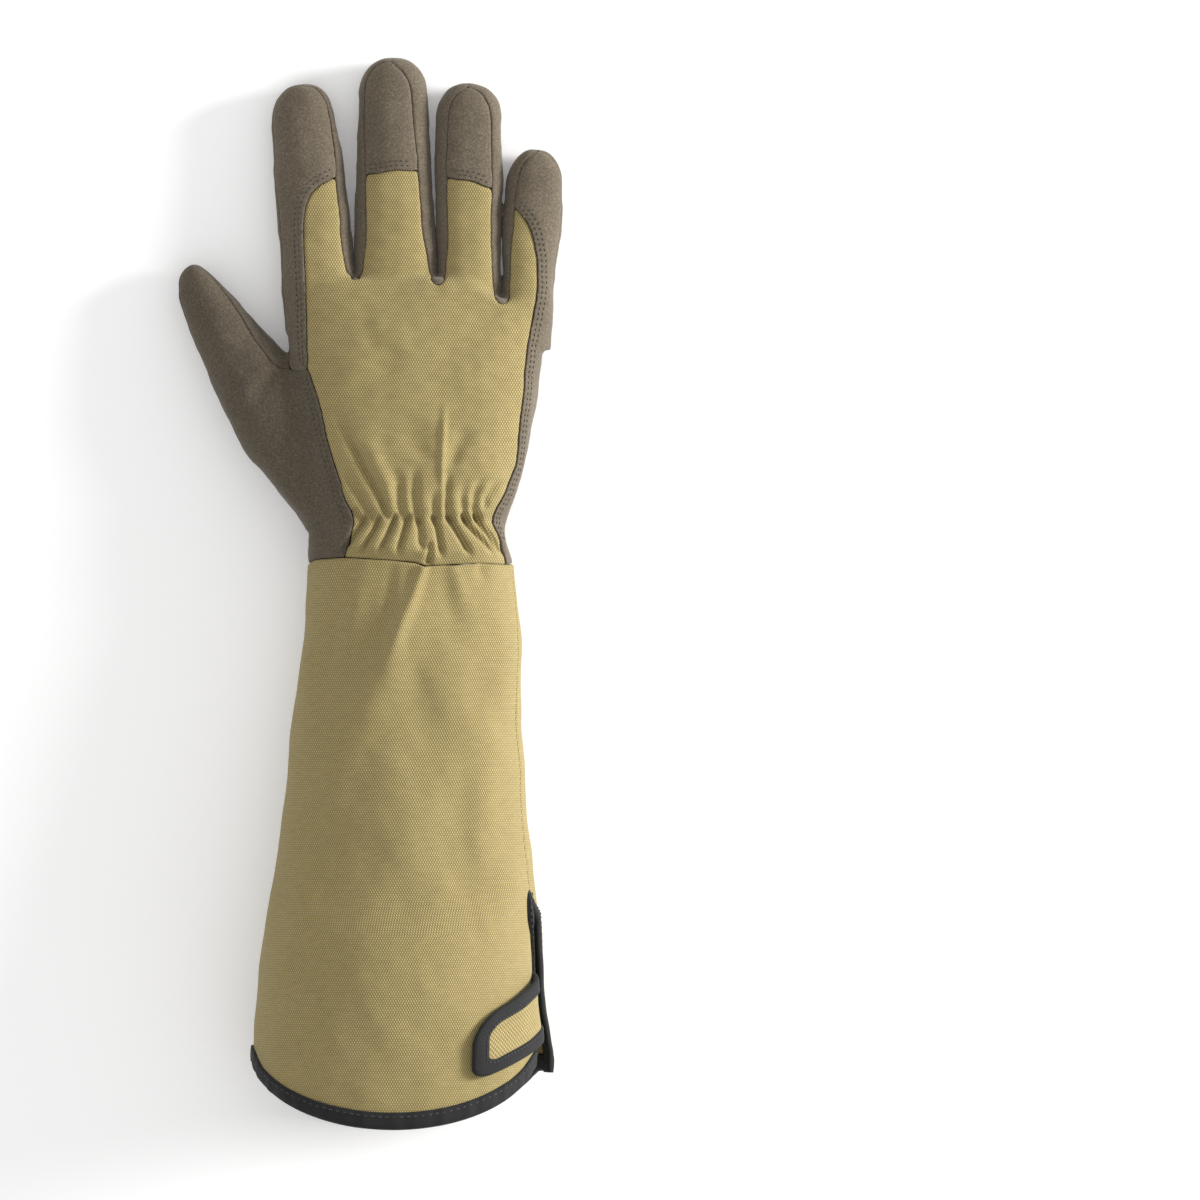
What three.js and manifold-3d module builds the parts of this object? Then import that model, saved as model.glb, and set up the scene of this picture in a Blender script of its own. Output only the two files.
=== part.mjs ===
// A right-hand gardening glove with a long gauntlet, lying palm down with its back up.
// Canvas back and gauntlet, soft leather palm, finger walls, fingertip caps and thumb,
// a quilted palm pad, black edge bindings, and a strap that closes a slit at the gauntlet's outer side.
// Millimetres, +Z up, fingers towards +Y, thumb towards -X. The origin is under the middle of the glove.
import * as THREE from "three";
import { mergeVertices } from "three/addons/utils/BufferGeometryUtils.js";
import Module from "manifold-3d";

// Main lengths and widths
const HAND_LENGTH = 213.4; // wrist seam to the tip of the middle finger
const PALM_WIDTH = 112; // across the knuckles, without the thumb
const PALM_SHIFT = 2.7; // how far the knuckles lie towards the little finger from the wrist's middle
const KNUCKLE_THICKNESS = 27;
const WRIST_WIDTH = 85.6;
const WRIST_THICKNESS = 44;
const GAUNTLET_LENGTH = 236.5; // wrist seam to the lowest point of the hem
const HEM_WIDTH = 119;
const HEM_THICKNESS = 72;
const HEM_DROP = 31.5; // how much lower the hem hangs at its middle than at its sides
const GAUNTLET_DRIFT = -7; // how far the hem's middle lies towards the thumb from the wrist's middle
const FINGER_WIDTH = 30;
const FINGER_THICKNESS = 21;
const THUMB_LENGTH = 124;
const THUMB_WIDTH = 42;
const THUMB_THICKNESS = 25;

// Cloth, leather and trim
const WALL = 1.4; // canvas and leather
const PAD_THICKNESS = 2.8;
const PATCH_THICKNESS = 1.2; // the second layer of leather on each fingertip
const SEAM_GAP = 0.3; // between sewn pieces
const BINDING_WIDTH = 7;
const BINDING_PROUD = 0.8; // how far the binding stands out from the canvas on each side
const SLIT_LENGTH = 63;
const SLIT_OPENING = 9; // at the hem, between the two bound edges
const SLIT_FLARE = 7; // how far the palm side's edge springs outwards at the hem
const STRAP_WIDTH = 25;
const STRAP_REACH = 64; // along the cloth, from where it is sewn on to its rounded end
const STRAP_THICKNESS = 1.8;
const GATHER_DEPTH = 1.8; // of the pleats at the wrist elastic
const GATHER_COUNT = 11;
const QUILT_GROOVE = 1.3; // depth of the sewn channels in the palm pad
const QUILT_GROOVE_WIDTH = 2.4;

// Finger seams: how far the back and palm pieces stop short of the finger's sides
const BACK_INSET = 4.6;
const PALM_INSET = 3.6;

// Each finger: its middle line from root to tip, and its half widths along the way.
// x is a share of PALM_WIDTH, y of HAND_LENGTH, half widths of FINGER_WIDTH.
const FINGERS = [
  { name: "index", rootX: -0.346, rootY: 0.54, tipX: -0.416, tipY: 0.949, base: 0.49, middle: 0.49, end: 0.44 },
  { name: "middle", rootX: -0.057, rootY: 0.54, tipX: -0.075, tipY: 1.0, base: 0.565, middle: 0.525, end: 0.49 },
  { name: "ring", rootX: 0.218, rootY: 0.54, tipX: 0.212, tipY: 0.951, base: 0.43, middle: 0.485, end: 0.455 },
  { name: "little", rootX: 0.432, rootY: 0.5, tipX: 0.469, tipY: 0.818, base: 0.35, middle: 0.42, end: 0.385 },
];

// The bottoms of the gaps between the fingers, in the same shares as the fingers
const CROTCHES = [
  { x: -0.211, y: 0.567 },
  { x: 0.1, y: 0.557 },
  { x: 0.335, y: 0.516 },
];

// Where each fingertip's cap ends on the back, as shares of the finger's length from its root
const CAP_EDGES = { index: 0.57, middle: 0.47, ring: 0.475, little: 0.47 };
// Where each fingertip's second layer ends on the palm side, in the same shares
const PATCH_EDGES = { index: 0.52, middle: 0.53, ring: 0.53, little: 0.44 };

// Cross-sections of the hand from the wrist seam to the knuckles.
// along is a share of HAND_LENGTH; flare goes from 0, the wrist's width, to 1, the palm's width;
// shift is a share of PALM_SHIFT; depth goes from 1, the wrist's thickness, to 0, the knuckles';
// gather is a share of GATHER_DEPTH.
const HAND_ROWS = [
  { along: 0.0, flare: 0.0, shift: 0.0, depth: 1.0, gather: 0.15 },
  { along: 0.03, flare: -0.05, shift: -0.4, depth: 0.94, gather: 0.5 },
  { along: 0.055, flare: -0.12, shift: -0.6, depth: 0.86, gather: 0.85 },
  { along: 0.077, flare: -0.12, shift: -0.6, depth: 0.82, gather: 1.0 },
  { along: 0.1, flare: -0.02, shift: -0.4, depth: 0.84, gather: 0.8 },
  { along: 0.13, flare: 0.1, shift: 0.0, depth: 0.85, gather: 0.55 },
  { along: 0.189, flare: 0.29, shift: 0.5, depth: 0.84, gather: 0.3 },
  { along: 0.248, flare: 0.42, shift: 0.63, depth: 0.78, gather: 0.1 },
  { along: 0.307, flare: 0.56, shift: 0.85, depth: 0.7, gather: 0 },
  { along: 0.366, flare: 0.67, shift: 0.78, depth: 0.58, gather: 0 },
  { along: 0.425, flare: 0.8, shift: 0.78, depth: 0.4, gather: 0 },
  { along: 0.484, flare: 0.92, shift: 0.93, depth: 0.15, gather: 0 },
  { along: 0.53, flare: 0.99, shift: 1.0, depth: -0.1, gather: 0 },
  { along: 0.563, flare: 1.0, shift: 1.0, depth: -0.22, gather: 0 },
];

// Cross-sections of the gauntlet from the wrist seam to the hem.
// along is a share of GAUNTLET_LENGTH, flare goes from 0, the wrist, to 1, the hem, and drift is a share of GAUNTLET_DRIFT.
const GAUNTLET_ROWS = [
  { along: 0.0, flare: 0.0, drift: 0.0 },
  { along: 0.03, flare: 0.02, drift: 0.0 },
  { along: 0.1, flare: 0.14, drift: -0.05 },
  { along: 0.2, flare: 0.235, drift: 0.09 },
  { along: 0.3, flare: 0.333, drift: 0.27 },
  { along: 0.42, flare: 0.48, drift: 0.39 },
  { along: 0.55, flare: 0.667, drift: 0.485 },
  { along: 0.68, flare: 0.85, drift: 0.76 },
  { along: 0.8, flare: 0.963, drift: 0.91 },
  { along: 0.9, flare: 1.0, drift: 1.0 },
  { along: 1.02, flare: 1.02, drift: 1.0 },
];

// Soft folds in the gauntlet's back: angle round the section (0 at the outer side, 90 on top), its slant
// along the gauntlet, where it starts and ends as shares of GAUNTLET_LENGTH, its height and its spread in degrees
const GAUNTLET_FOLDS = [
  { angle: 84, slant: 30, from: -0.02, to: 0.34, height: 2.6, spread: 11 },
  { angle: 58, slant: -10, from: 0.02, to: 0.3, height: -1.6, spread: 12 },
  { angle: 118, slant: 12, from: 0.3, to: 0.95, height: -1.3, spread: 16 },
  { angle: 70, slant: 6, from: 0.45, to: 1.0, height: 1.2, spread: 18 },
];

// Cross-sections of the thumb along its own middle line, from the tip: along is a share of THUMB_LENGTH,
// outer and inner are the widths on each side of that line, as shares of THUMB_WIDTH
const THUMB_TIP = { x: -0.837, y: 0.587 };
const THUMB_END = { x: -0.322, y: 0.071 };
const THUMB_ROWS = [
  { along: 0.0, outer: 0.03, inner: 0.03, depth: 0.25 },
  { along: 0.012, outer: 0.12, inner: 0.08, depth: 0.45 },
  { along: 0.035, outer: 0.19, inner: 0.12, depth: 0.6 },
  { along: 0.075, outer: 0.235, inner: 0.17, depth: 0.7 },
  { along: 0.16, outer: 0.275, inner: 0.25, depth: 0.78 },
  { along: 0.27, outer: 0.32, inner: 0.335, depth: 0.86 },
  { along: 0.39, outer: 0.345, inner: 0.43, depth: 0.95 },
  { along: 0.5, outer: 0.36, inner: 0.5, depth: 1.0 },
  { along: 0.65, outer: 0.355, inner: 0.58, depth: 1.08 },
  { along: 0.82, outer: 0.26, inner: 0.62, depth: 1.16 },
  { along: 0.97, outer: 0.16, inner: 0.58, depth: 1.2 },
];

// Seams on the back of the hand: x is a share of PALM_WIDTH, y of HAND_LENGTH
const THUMB_SIDE_SEAM = [
  { x: -0.249, y: -0.02 }, { x: -0.247, y: 0.0 }, { x: -0.218, y: 0.081 }, { x: -0.232, y: 0.11 },
  { x: -0.281, y: 0.189 }, { x: -0.315, y: 0.248 }, { x: -0.349, y: 0.327 }, { x: -0.382, y: 0.382 },
  { x: -0.388, y: 0.464 }, { x: -0.392, y: 0.543 }, { x: -0.402, y: 0.622 }, { x: -0.405, y: 0.68 },
];
const OUTER_SIDE_SEAM = [
  { x: 0.362, y: -0.02 }, { x: 0.358, y: 0.0 }, { x: 0.319, y: 0.059 }, { x: 0.306, y: 0.099 },
  { x: 0.337, y: 0.127 }, { x: 0.388, y: 0.19 }, { x: 0.401, y: 0.258 }, { x: 0.422, y: 0.352 },
  { x: 0.427, y: 0.388 }, { x: 0.457, y: 0.492 }, { x: 0.472, y: 0.538 }, { x: 0.474, y: 0.6 },
];
// Where the index finger's side strip is sewn to the back of the thumb
const STRIP_END = 0.385;

// The palm piece's edge along the thumb, from the wrist up to the notch by the index finger, in the same shares
const THUMB_PALM_SEAM = [
  { x: -0.46, y: -0.02 }, { x: -0.4, y: 0.045 }, { x: -0.341, y: 0.067 }, { x: -0.262, y: 0.091 },
  { x: -0.201, y: 0.134 }, { x: -0.158, y: 0.207 }, { x: -0.15, y: 0.26 }, { x: -0.169, y: 0.331 },
  { x: -0.214, y: 0.384 }, { x: -0.268, y: 0.418 }, { x: -0.319, y: 0.439 },
];
// The V-shaped notch between thumb and index finger on the palm side, from the palm piece's corner outwards
const PALM_NOTCH = [
  { x: -0.326, y: 0.356 }, { x: -0.349, y: 0.344 }, { x: -0.401, y: 0.351 }, { x: -0.4625, y: 0.385 },
];
// A line through the open air between thumb and index finger
const THUMB_GAP = [
  { x: -0.4625, y: 0.385 }, { x: -0.475, y: 0.425 }, { x: -0.5625, y: 0.515 }, { x: -0.59, y: 0.656 },
];

// The palm pad's outline and its sewn channels, in the same shares
const PAD_OUTLINE = [
  { x: -0.034, y: 0.055 }, { x: -0.07, y: 0.07 }, { x: -0.068, y: 0.138 }, { x: -0.047, y: 0.19 },
  { x: -0.047, y: 0.25 }, { x: -0.075, y: 0.327 }, { x: -0.12, y: 0.376 }, { x: -0.188, y: 0.425 },
  { x: -0.247, y: 0.461 }, { x: -0.25, y: 0.487 }, { x: -0.225, y: 0.502 }, { x: -0.19, y: 0.504 },
  { x: 0.0, y: 0.474 }, { x: 0.235, y: 0.421 }, { x: 0.41, y: 0.366 }, { x: 0.6, y: 0.3 },
  { x: 0.6, y: 0.045 }, { x: 0.33, y: 0.045 },
];
const PAD_SIDE_HEIGHT = 6.5; // how far the pad wraps up round the palm's outer side
const PAD_CHANNELS = [
  { fromX: -0.05, fromY: 0.434, toX: 0.5, toY: 0.289 },
  { fromX: -0.05, fromY: 0.434, toX: 0.42, toY: 0.12 },
  { fromX: -0.1, fromY: 0.131, toX: 0.5, toY: 0.107 },
];

// How many points go round each form, outside and inside
const HAND_RING = { outside: 24, inside: 14 };
const GATHER_RING = 4; // points in each pleat
const GAUNTLET_RING = { outside: 32, inside: 20 };
const FINGER_RING = { outside: 12, inside: 8 };
const THUMB_RING = { outside: 14, inside: 10 };
const EMBED = 15; // how far the fingers run back into the hand
const FAR = 400; // beyond the glove on any side
const MERGE_DISTANCE = 0.01;

const wasm = await Module();
wasm.setup();

// Curved and joined solids

const mix = (a, b, t) => a + (b - a) * t;
const smooth = (t) => {
  const c = Math.min(1, Math.max(0, t));
  return c * c * (3 - 2 * c);
};

function between(rows, key, name, at) {
  if (at <= rows[0][key]) return rows[0][name];
  for (let i = 1; i < rows.length; i++) {
    if (at <= rows[i][key]) {
      const t = (at - rows[i - 1][key]) / (rows[i][key] - rows[i - 1][key]);
      return mix(rows[i - 1][name], rows[i][name], t);
    }
  }
  return rows[rows.length - 1][name];
}

// A manifold solid of a closed, indexed geometry, turned right side out
function solidOf(geometry) {
  const vertProperties = new Float32Array(geometry.attributes.position.array);
  const triVerts = new Uint32Array(geometry.index.array);
  const made = new wasm.Manifold(new wasm.Mesh({ numProp: 3, vertProperties, triVerts }));
  if (made.volume() >= 0) return made;
  for (let i = 0; i < triVerts.length; i += 3) {
    [triVerts[i + 1], triVerts[i + 2]] = [triVerts[i + 2], triVerts[i + 1]];
  }
  return new wasm.Manifold(new wasm.Mesh({ numProp: 3, vertProperties, triVerts }));
}

function geometryOf(solid) {
  const m = solid.getMesh();
  const positions = new Float32Array(m.numVert * 3);
  for (let i = 0; i < m.numVert; i++) {
    positions.set(m.vertProperties.subarray(i * m.numProp, i * m.numProp + 3), i * 3);
  }
  const geometry = new THREE.BufferGeometry();
  geometry.setAttribute("position", new THREE.BufferAttribute(positions, 3));
  geometry.setIndex(new THREE.BufferAttribute(new Uint32Array(m.triVerts), 1));
  return geometry;
}

// A solid made again from its own triangles, without the collapsed ones that a cut leaves
const settled = (solid) => solidOf(geometryOf(solid));

function extruded(shape, depth) {
  const geometry = new THREE.ExtrudeGeometry(shape, { depth, bevelEnabled: false });
  geometry.deleteAttribute("normal");
  geometry.deleteAttribute("uv");
  return mergeVertices(geometry, 1e-4);
}

// A closed form through rings of points, with a fan over each end. Neighbouring rings may have different
// numbers of points: the strip between them goes on along the ring whose next point comes first.
function loft(rings) {
  const points = rings.flat();
  const faces = [];
  const starts = [];
  rings.reduce((start, ring) => (starts.push(start), start + ring.length), 0);
  const shareAt = (ring, k) => (ring.shares ? ring.shares[k % ring.length] : (k % ring.length) / ring.length) + Math.floor(k / ring.length);
  for (let r = 0; r + 1 < rings.length; r++) {
    const [lower, upper] = [rings[r], rings[r + 1]];
    let i = 0;
    let j = 0;
    while (i < lower.length || j < upper.length) {
      const a = starts[r] + (i % lower.length);
      const b = starts[r + 1] + (j % upper.length);
      const stepLower = j >= upper.length || (i < lower.length && shareAt(lower, i + 1) <= shareAt(upper, j + 1));
      if (stepLower) faces.push(a, starts[r] + (++i % lower.length), b);
      else faces.push(a, starts[r + 1] + (++j % upper.length), b);
    }
  }
  for (const [ring, flip] of [[0, true], [rings.length - 1, false]]) {
    const count = rings[ring].length;
    const middle = new THREE.Vector3();
    for (const p of rings[ring]) middle.addScaledVector(p, 1 / count);
    points.push(middle);
    for (let k = 0; k < count; k++) {
      const a = starts[ring] + k;
      const b = starts[ring] + ((k + 1) % count);
      if (flip) faces.push(b, a, points.length - 1);
      else faces.push(a, b, points.length - 1);
    }
  }
  const geometry = new THREE.BufferGeometry().setFromPoints(points);
  geometry.setIndex(faces);
  return solidOf(geometry);
}

// A flat outline pulled straight up from low to high
function prism(outline, low, high) {
  const shape = new THREE.Shape(outline.map((p) => new THREE.Vector2(p.x, p.y)));
  return solidOf(extruded(shape, high - low).translate(0, 0, low));
}

// The same, for an outline in Y and Z that is pulled along X
function sidePrism(outline, low, high) {
  const shape = new THREE.Shape(outline.map((p) => new THREE.Vector2(p.y, p.z)));
  const geometry = extruded(shape, high - low).rotateX(Math.PI / 2).rotateZ(Math.PI / 2);
  return solidOf(geometry.translate(low, 0, 0));
}

const unite = (solids) => solids.reduce((a, b) => a.add(b));

// The two edges of a line that is given a width
function ribbon(line, width) {
  const sides = line.map((p, i) => {
    const before = line[Math.max(0, i - 1)];
    const after = line[Math.min(line.length - 1, i + 1)];
    const dx = after.x - before.x;
    const dy = after.y - before.y;
    const size = Math.hypot(dx, dy) || 1;
    return { x: (-dy / size) * (width / 2), y: (dx / size) * (width / 2) };
  });
  const left = line.map((p, i) => ({ x: p.x + sides[i].x, y: p.y + sides[i].y }));
  const right = line.map((p, i) => ({ x: p.x - sides[i].x, y: p.y - sides[i].y }));
  return { left, right };
}

// A line cut at its sharp corners into smooth runs, each pushed a little past its ends so that they cross
function smoothRuns(line, overrun) {
  const runs = [[line[0]]];
  for (let i = 1; i < line.length; i++) {
    runs.at(-1).push(line[i]);
    if (i + 1 === line.length) break;
    const into = Math.atan2(line[i].y - line[i - 1].y, line[i].x - line[i - 1].x);
    const away = Math.atan2(line[i + 1].y - line[i].y, line[i + 1].x - line[i].x);
    if (Math.cos(away - into) < 0.85) runs.push([line[i]]);
  }
  const past = (from, to) => {
    const size = Math.hypot(to.x - from.x, to.y - from.y);
    return { x: to.x + ((to.x - from.x) / size) * overrun, y: to.y + ((to.y - from.y) / size) * overrun };
  };
  return runs.map((run) => [past(run[1], run[0]), ...run.slice(1, -1), past(run.at(-2), run.at(-1))]);
}

// A thin upright wall along a line: what is taken out of the cloth where two pieces are sewn together
function seamWall(line, low, high) {
  const up = (p, z) => new THREE.Vector3(p.x, p.y, z);
  return unite(
    smoothRuns(line, SEAM_GAP / 2).map((run) => {
      const { left, right } = ribbon(run, SEAM_GAP);
      return loft(left.map((p, i) => [up(p, low), up(right[i], low), up(right[i], high), up(p, high)]));
    }),
  );
}

const onHand = (p) => ({ x: p.x * PALM_WIDTH, y: p.y * HAND_LENGTH });

function curveThrough(points, steps) {
  const curve = new THREE.SplineCurve(points.map((p) => new THREE.Vector2(p.x, p.y)));
  return curve.getPoints(steps).map((v) => ({ x: v.x, y: v.y }));
}

// Cross-sections of the glove

// How high each form's underside lies, so that what is sewn beneath it rests on the ground
const PALM_REST = PAD_THICKNESS + SEAM_GAP;
const FINGER_REST = PATCH_THICKNESS + SEAM_GAP;
const GAUNTLET_REST = BINDING_PROUD;
const ROOT_LIFT = 0.45; // fingers and thumb start a little above the palm's underside

// A rounded section in the plane across a line, flattened where it lies on the ground
function sectionPoint(s, angle, inset, rise = 0) {
  const c = Math.cos(angle);
  const n = Math.sin(angle);
  const side = Math.sign(c) * Math.pow(Math.abs(c), 2 / s.power);
  const up = Math.sign(n) * Math.pow(Math.abs(n), 2 / (n > 0 ? s.power : s.flatness));
  const half = (c > 0 ? s.right : s.left) - inset + rise * Math.abs(c);
  const tall = n > 0 ? s.top - inset + rise : s.bottom - inset;
  const across = side * half;
  const height = Math.max(s.middle + up * tall, s.rest + inset);
  return new THREE.Vector3(s.x + s.acrossX * across, s.y + s.acrossY * across, height);
}

function ringOf(section, angles, inset, rise = () => 0) {
  const ring = angles.map((a) => sectionPoint(section, a, inset, rise(a)));
  ring.shares = angles.map((a) => a / (2 * Math.PI));
  return ring;
}

function anglesFor(ring, inset) {
  const count = inset > 0 ? ring.inside : ring.outside;
  return Array.from({ length: count }, (_, k) => ((k + 0.5) / count) * 2 * Math.PI);
}

function handSection(along) {
  const flare = between(HAND_ROWS, "along", "flare", along);
  const depth = between(HAND_ROWS, "along", "depth", along);
  const half = mix(WRIST_WIDTH, PALM_WIDTH, flare) / 2;
  const rest = mix(GAUNTLET_REST, PALM_REST, smooth(along / 0.03));
  const tall = mix(KNUCKLE_THICKNESS, WRIST_THICKNESS, depth);
  const middle = rest + tall * 0.42;
  return {
    x: between(HAND_ROWS, "along", "shift", along) * PALM_SHIFT,
    y: along * HAND_LENGTH,
    acrossX: 1,
    acrossY: 0,
    left: half,
    right: half,
    middle,
    top: tall + rest - middle,
    bottom: middle - rest + 1.5,
    rest,
    power: mix(2.6, 2.15, depth),
    flatness: 2.8,
  };
}

// The pleats: a wave across the middle of the back, deepest at the elastic
const GATHER_FROM = 0.2 * Math.PI;
const GATHER_TO = 0.8 * Math.PI;
function pleat(angle, gather) {
  if (angle < GATHER_FROM || angle > GATHER_TO) return 0;
  const t = (angle - GATHER_FROM) / (GATHER_TO - GATHER_FROM);
  return (-gather * GATHER_DEPTH * (1 - Math.cos(2 * Math.PI * GATHER_COUNT * t))) / 2;
}

// Enough points for the pleats on the back, and a plainer run round the sides and the palm
function gatherAngles() {
  const steps = GATHER_COUNT * GATHER_RING;
  const over = Array.from({ length: steps + 1 }, (_, k) => mix(GATHER_FROM, GATHER_TO, k / steps));
  const rest = 15;
  const sweep = 2 * Math.PI - (GATHER_TO - GATHER_FROM);
  const under = Array.from({ length: rest }, (_, k) => GATHER_TO + (sweep * (k + 1)) / (rest + 1));
  return [...over, ...under.map((a) => a % (2 * Math.PI))].sort((a, b) => a - b);
}

function handSolid(inset) {
  const inside = inset > 0;
  const plain = anglesFor(HAND_RING, inset);
  const gathered = gatherAngles();
  const last = HAND_ROWS[HAND_ROWS.length - 1].along;
  const rings = HAND_ROWS.map((row, i) => {
    const s = handSection(row.along);
    if (i === 0 && inside) s.y -= 4 * SEAM_GAP;
    const pleats = row.gather > 0 && !inside;
    const clear = inside ? row.gather * GATHER_DEPTH : 0;
    const ring = ringOf(s, pleats ? gathered : plain, inset + clear, (a) => (pleats ? pleat(a, row.gather) : 0));
    const pull = Math.max(0, (row.along - 0.42) / (last - 0.42));
    for (const p of ring) {
      // The knuckle line drops towards the little finger, and the wall stops short of it inside
      const outward = smooth((p.x / PALM_WIDTH - 0.2) / 0.16);
      p.y -= pull * (outward * (CROTCHES[1].y - CROTCHES[2].y) * HAND_LENGTH + inset);
    }
    return ring;
  });
  return loft(rings);
}

// Fingers
function fingerFrame(finger) {
  const root = onHand({ x: finger.rootX, y: finger.rootY });
  const tip = onHand({ x: finger.tipX, y: finger.tipY });
  const length = Math.hypot(tip.x - root.x, tip.y - root.y);
  return { root, length, alongX: (tip.x - root.x) / length, alongY: (tip.y - root.y) / length };
}

function fingerHalf(finger, share) {
  const rows = [
    { at: 0, half: finger.base },
    { at: 0.55, half: finger.middle },
    { at: 0.85, half: finger.end },
    { at: 1, half: finger.end * 0.92 },
  ];
  return between(rows, "at", "half", share) * FINGER_WIDTH;
}

const TIP_ROUND = 0.52; // the round end's length, as a share of FINGER_WIDTH
const TIP_STEPS = { outside: [0, 0.4, 0.68, 0.86, 0.96, 0.997], inside: [0, 0.55, 0.85, 0.98] };

function fingerSolid(finger, inset) {
  const f = fingerFrame(finger);
  const length = f.length - inset;
  const round = TIP_ROUND * FINGER_WIDTH;
  const steps = inset > 0 ? TIP_STEPS.inside : TIP_STEPS.outside;
  const stations = [-EMBED, 0, 0.3 * f.length, 0.55 * f.length];
  const rings = [...stations, ...steps.map((t) => length - round + t * round)].map((s) => {
    const share = Math.max(0, s / f.length);
    const late = Math.max(0, (s - (length - round)) / round);
    const shrink = Math.sqrt(Math.max(0, 1 - late * late));
    const half = fingerHalf(finger, share) * Math.max(shrink, 0.05);
    const rest = mix(PALM_REST + ROOT_LIFT, FINGER_REST, smooth(share / 0.3));
    const tall = FINGER_THICKNESS * mix(1, 0.8, smooth(share));
    const middle = rest + tall * 0.46;
    return ringOf(
      {
        x: f.root.x + f.alongX * s,
        y: f.root.y + f.alongY * s,
        acrossX: f.alongY,
        acrossY: -f.alongX,
        left: half,
        right: half,
        middle,
        top: tall * 0.54 * Math.max(Math.pow(shrink, 0.8), 0.05),
        bottom: (tall * 0.46 + 0.8) * Math.max(Math.pow(shrink, 0.8), 0.05),
        rest,
        power: 2.2,
        flatness: 2.8,
      },
      anglesFor(FINGER_RING, inset),
      inset,
    );
  });
  return loft(rings);
}

// Thumb
function thumbSolid(inset) {
  const tip = onHand(THUMB_TIP);
  const end = onHand(THUMB_END);
  const length = Math.hypot(end.x - tip.x, end.y - tip.y);
  const ax = (end.x - tip.x) / length;
  const ay = (end.y - tip.y) / length;
  // Inside, the rows by the tip that are narrower than the wall are left out
  const rows = THUMB_ROWS.filter((row) => inset <= 0 || row.outer * THUMB_WIDTH > 2.5 * inset);
  const rings = rows.map((row) => {
    const s = row.along * THUMB_LENGTH + inset * (1 - row.along);
    const tall = THUMB_THICKNESS * row.depth;
    const rest = mix(FINGER_REST, PALM_REST + ROOT_LIFT, smooth(row.along / 0.5));
    const middle = rest + THUMB_THICKNESS * Math.max(row.depth, 0.7) * 0.46;
    return ringOf(
      {
        x: tip.x + ax * s,
        y: tip.y + ay * s,
        acrossX: -ay,
        acrossY: ax,
        left: row.outer * THUMB_WIDTH,
        right: row.inner * THUMB_WIDTH,
        middle,
        top: tall * 0.54,
        bottom: tall * 0.48,
        rest,
        power: 2.2,
        flatness: 2.6,
      },
      anglesFor(THUMB_RING, inset),
      inset,
    );
  });
  return loft(rings);
}

// Gauntlet
function gauntletSection(along) {
  const flare = between(GAUNTLET_ROWS, "along", "flare", along);
  const half = mix(WRIST_WIDTH, HEM_WIDTH, flare) / 2;
  const tall = mix(WRIST_THICKNESS, HEM_THICKNESS, flare);
  const middle = GAUNTLET_REST + tall * 0.43;
  return {
    x: between(GAUNTLET_ROWS, "along", "drift", along) * GAUNTLET_DRIFT,
    y: -along * GAUNTLET_LENGTH,
    acrossX: 1,
    acrossY: 0,
    left: half,
    right: half,
    middle,
    top: GAUNTLET_REST + tall - middle,
    bottom: middle - GAUNTLET_REST + 1.5,
    rest: GAUNTLET_REST,
    power: 2.15,
    flatness: 2.6,
  };
}

function foldRise(angle, along) {
  let rise = 0;
  for (const fold of GAUNTLET_FOLDS) {
    const t = (along - fold.from) / (fold.to - fold.from);
    if (t <= 0 || t >= 1) continue;
    const off = ((angle * 180) / Math.PI - fold.angle - fold.slant * t) / fold.spread;
    rise += fold.height * Math.sin(Math.PI * t) * Math.exp(-off * off);
  }
  return rise;
}

// The hem's line, seen from above: an ellipse's arc, lowest in the middle
const hemCentre = GAUNTLET_DRIFT;
const hemHalf = (HEM_WIDTH / 2) * 1.01;
const hemSide = -GAUNTLET_LENGTH + HEM_DROP;
const slitTop = hemSide + SLIT_LENGTH;
const slitShare = (y) => Math.min(1, Math.max(0, (slitTop - y) / SLIT_LENGTH));

// How far the palm side's cloth springs outwards beside the slit
function springOut(angle, y) {
  const c = Math.cos(angle);
  if (c <= 0) return 0;
  return SLIT_FLARE * Math.pow(slitShare(y), 1.3) * Math.pow(c, 4);
}

function gauntletSolid(inset, sprung) {
  const slit = slitTop / -GAUNTLET_LENGTH;
  const stations = [...GAUNTLET_ROWS.map((r) => r.along), slit].sort((a, b) => a - b);
  const angles = anglesFor(GAUNTLET_RING, inset);
  const rings = stations.map((along) => {
    const s = gauntletSection(along);
    const ring = ringOf(s, angles, inset, (a) => foldRise(a, along));
    if (sprung) ring.forEach((p, k) => (p.x += springOut(angles[k], s.y)));
    return ring;
  });
  return loft(rings);
}

// Where the back and the palm side meet, seen from the side
const SIDE_SEAM = [
  { at: -GAUNTLET_LENGTH - 20, z: GAUNTLET_REST + HEM_THICKNESS * 0.43 },
  { at: 0, z: GAUNTLET_REST + WRIST_THICKNESS * 0.43 },
  { at: 0.5 * HAND_LENGTH, z: PALM_REST + KNUCKLE_THICKNESS * 0.36 },
  { at: HAND_LENGTH + 20, z: FINGER_REST + FINGER_THICKNESS * 0.42 },
];
const seamLine = (lift) => SIDE_SEAM.map((r) => ({ y: r.at, z: r.z + lift }));
const above = (lift) => sidePrism([...seamLine(lift), { y: FAR, z: FAR }, { y: -FAR, z: FAR }], -FAR, FAR);
const below = (drop) => sidePrism([...seamLine(-drop), { y: FAR, z: -FAR }, { y: -FAR, z: -FAR }], -FAR, FAR);
const backHalf = above(SEAM_GAP / 2);
const palmHalf = below(SEAM_GAP / 2);

// Outlines of the sewn pieces, seen from above

function fingerPoint(finger, share, side, inset) {
  const f = fingerFrame(finger);
  const off = side * (fingerHalf(finger, share) - inset);
  return {
    x: f.root.x + f.alongX * share * f.length + f.alongY * off,
    y: f.root.y + f.alongY * share * f.length - f.alongX * off,
  };
}

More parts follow.
